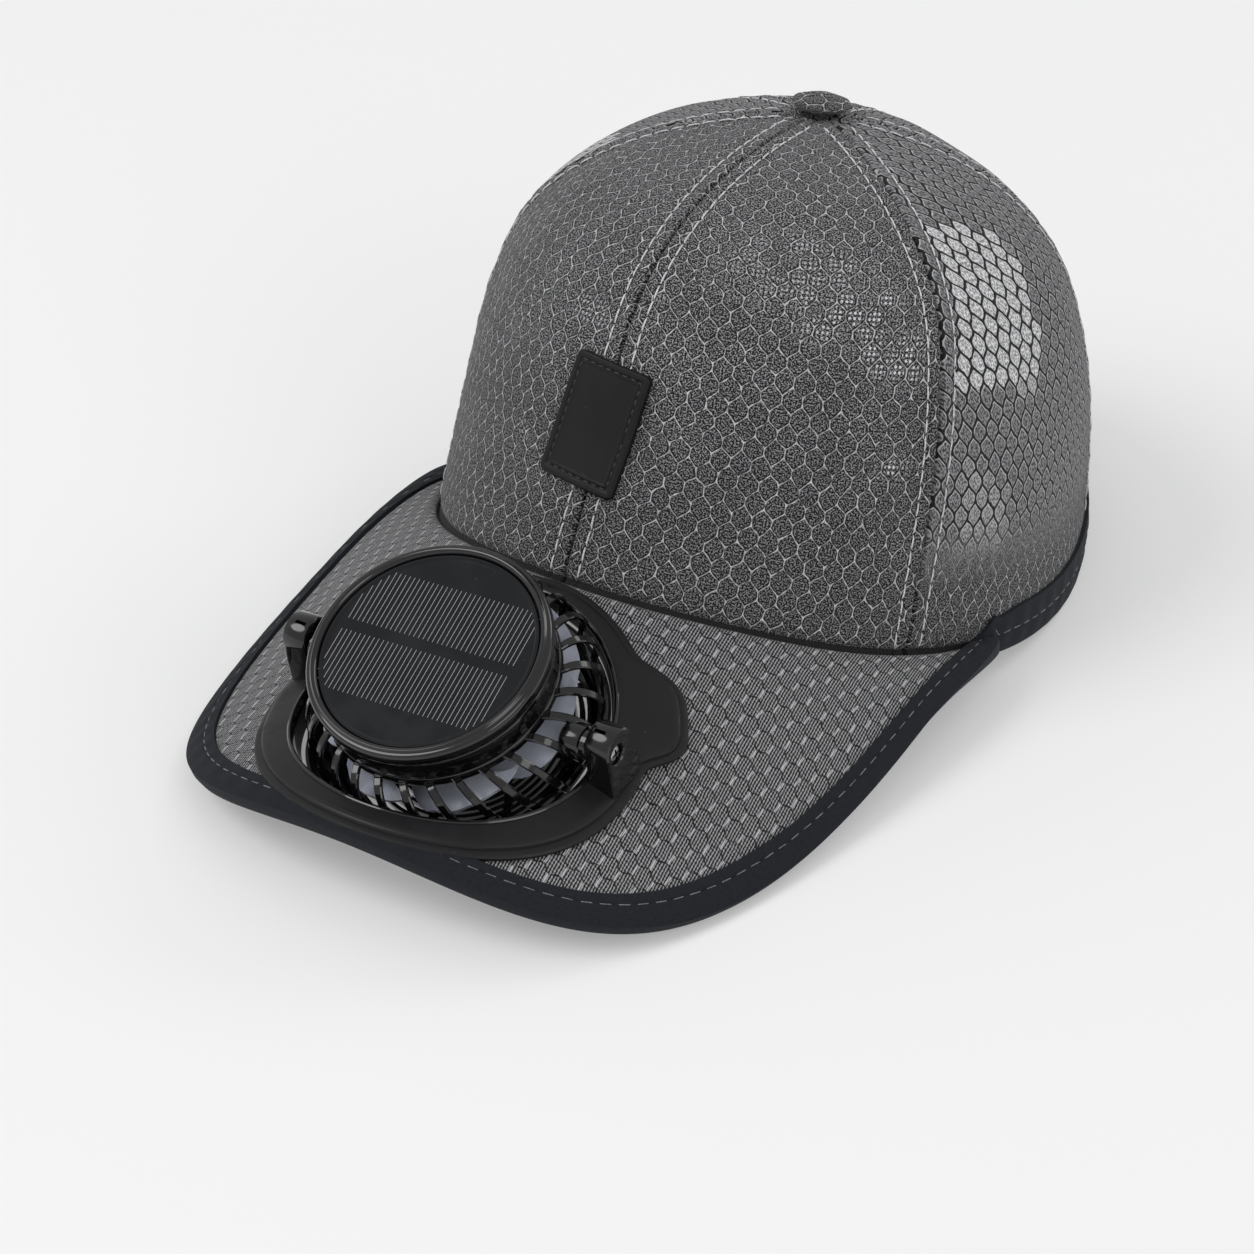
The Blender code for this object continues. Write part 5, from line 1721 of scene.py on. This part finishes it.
impeller = {
    "blades": 7,
    "height": 0.0082,
    "hubRadius": 0.0115,
    "tipRadius": 0.0320,
    "tipRound": 0.0022,
    "sweep": math.radians(34),
    "rootSpread": 0.62,  # how much of its share of the circle a blade covers
    "tipSpread": 0.90,
    "thickness": 0.0009,
    "rootShare": 0.93,  # of the hub's radius
    "roundFrom": 0.86,  # share of a blade where its rounded corners begin
    # a blade's lower and upper edge: height at the root, as a share of the hub's, and rise to the tip
    "lowEdge": (-0.75, 0.00205),
    "highEdge": (-0.1, 0.0034),
    "sunk": 0.0004,
}
# The hub's section: radius, and height from its bottom (0) or top (1)
hubLine = (
    (0.0015, 1, 0.0), (0.0109, 1, 0.0), (0.0114, 1, -0.0005), (0.0115, 0, 0.0016),
    (0.0110, 0, 0.0007), (0.0098, 0, 0.0), (0.0015, 0, 0.0),
)


# The hub and its twisted blades
def makeImpeller():
    deep = impeller["height"]
    parts = [turnedRing(atLevels(hubLine, -deep, 0), 96)]
    reach = np.linspace(0, 1, 15)[:, None]
    across = np.linspace(0, 1, 13)[None, :]
    root = impeller["hubRadius"] * impeller["rootShare"]
    fromCut = (reach - impeller["roundFrom"]) / (1 - impeller["roundFrom"])
    cut = np.clip(fromCut, 0, 1) ** 2 * (2 * across - 1) ** 4
    radius = root + (impeller["tipRadius"] - root) * reach - impeller["tipRound"] * cut
    spreadShare = impeller["rootSpread"] + (impeller["tipSpread"] - impeller["rootSpread"]) * reach
    chord = math.tau / impeller["blades"] * spreadShare
    (lowShare, lowRise), (highShare, highRise) = impeller["lowEdge"], impeller["highEdge"]
    low = lowShare * deep + lowRise * reach
    high = highShare * deep + highRise * reach**0.7
    thin = impeller["thickness"] * (0.35 + 0.65 * np.sqrt(np.clip(1 - (2 * across - 1) ** 2, 0, 1)))
    height = low + (high - low) * across**0.9 + thin / 2 - impeller["sunk"]
    for start in circle(impeller["blades"]):
        angle = start + impeller["sweep"] * reach**1.5 + chord * across
        upper = np.stack([radius * np.cos(angle), radius * np.sin(angle), height], axis=-1)
        lower = upper - np.stack([0 * angle, 0 * angle, thin + 0 * angle], axis=-1)
        parts.append(([upper, lower], shellFaces(*angle.shape)))
    blades = mergedParts(parts)
    headPiece("blades", *blades, "blade plastic", "impeller", "impeller", "blade_plastic", crease=50)


makeGuard()
makeHousing()
makeRim()
makeSolarPanel()
for side, place in ((1, "left"), (-1, "right")):
    makeBoss(f"boss_{place}", side)
makeImpeller()
print("fan head made")


# Floor and light

studio = {
    "floorReach": 6,
    "floor": (0.62, 0.62, 0.618),
    "floorGlow": 0.26,
    "sky": (0.92, 0.925, 0.93),
    "skyStrength": 0.66,
    "target": (0, 0, 0.05),
    "lights": {  # place, size and power
        "key light": ((-0.9, -1.0, 1.5), 1.2, 15),
        "side light": ((1.4, -0.6, 0.9), 1.0, 5),
        "back light": ((0.5, 1.5, 1.0), 1.0, 5),
    },
}


def makeFloor():
    far = studio["floorReach"]
    corners = [(-far, -far, 0), (far, -far, 0), (far, far, 0), (-far, far, 0)]
    floor = newObject("floor", corners, [(0, 1, 2, 3)])
    glow = {"Roughness": 0.9, "Emission Color": (1, 1, 1, 1), "Emission Strength": studio["floorGlow"]}
    material, tree, inputs = newMaterial("floor", glow)
    paler = tuple(value * 1.01 for value in studio["floor"])
    feed(tree, inputs["Base Color"], mixed(tree, noise(tree, objectPlace(tree), 3.0), studio["floor"], paler))
    floor.data.materials.append(material)


def makeLight(name, place, size, power):
    light = bpy.data.lights.new(name, "AREA")
    light.shape = "DISK"
    light.size = size
    light.energy = power
    made = bpy.data.objects.new(name, light)
    made.location = place
    made.rotation_euler = (Vector(studio["target"]) - Vector(place)).to_track_quat("-Z", "Y").to_euler()
    bpy.context.scene.collection.objects.link(made)


def makeStudio():
    makeFloor()
    world = bpy.data.worlds.new("studio")
    world.use_nodes = True
    sky = world.node_tree.nodes["Background"].inputs
    sky["Color"].default_value = (*studio["sky"], 1)
    sky["Strength"].default_value = studio["skyStrength"]
    bpy.context.scene.world = world
    bpy.context.scene.view_settings.view_transform = "Standard"
    for name, (place, size, power) in studio["lights"].items():
        makeLight(name, place, size, power)


makeStudio()
print("floor and lights set")
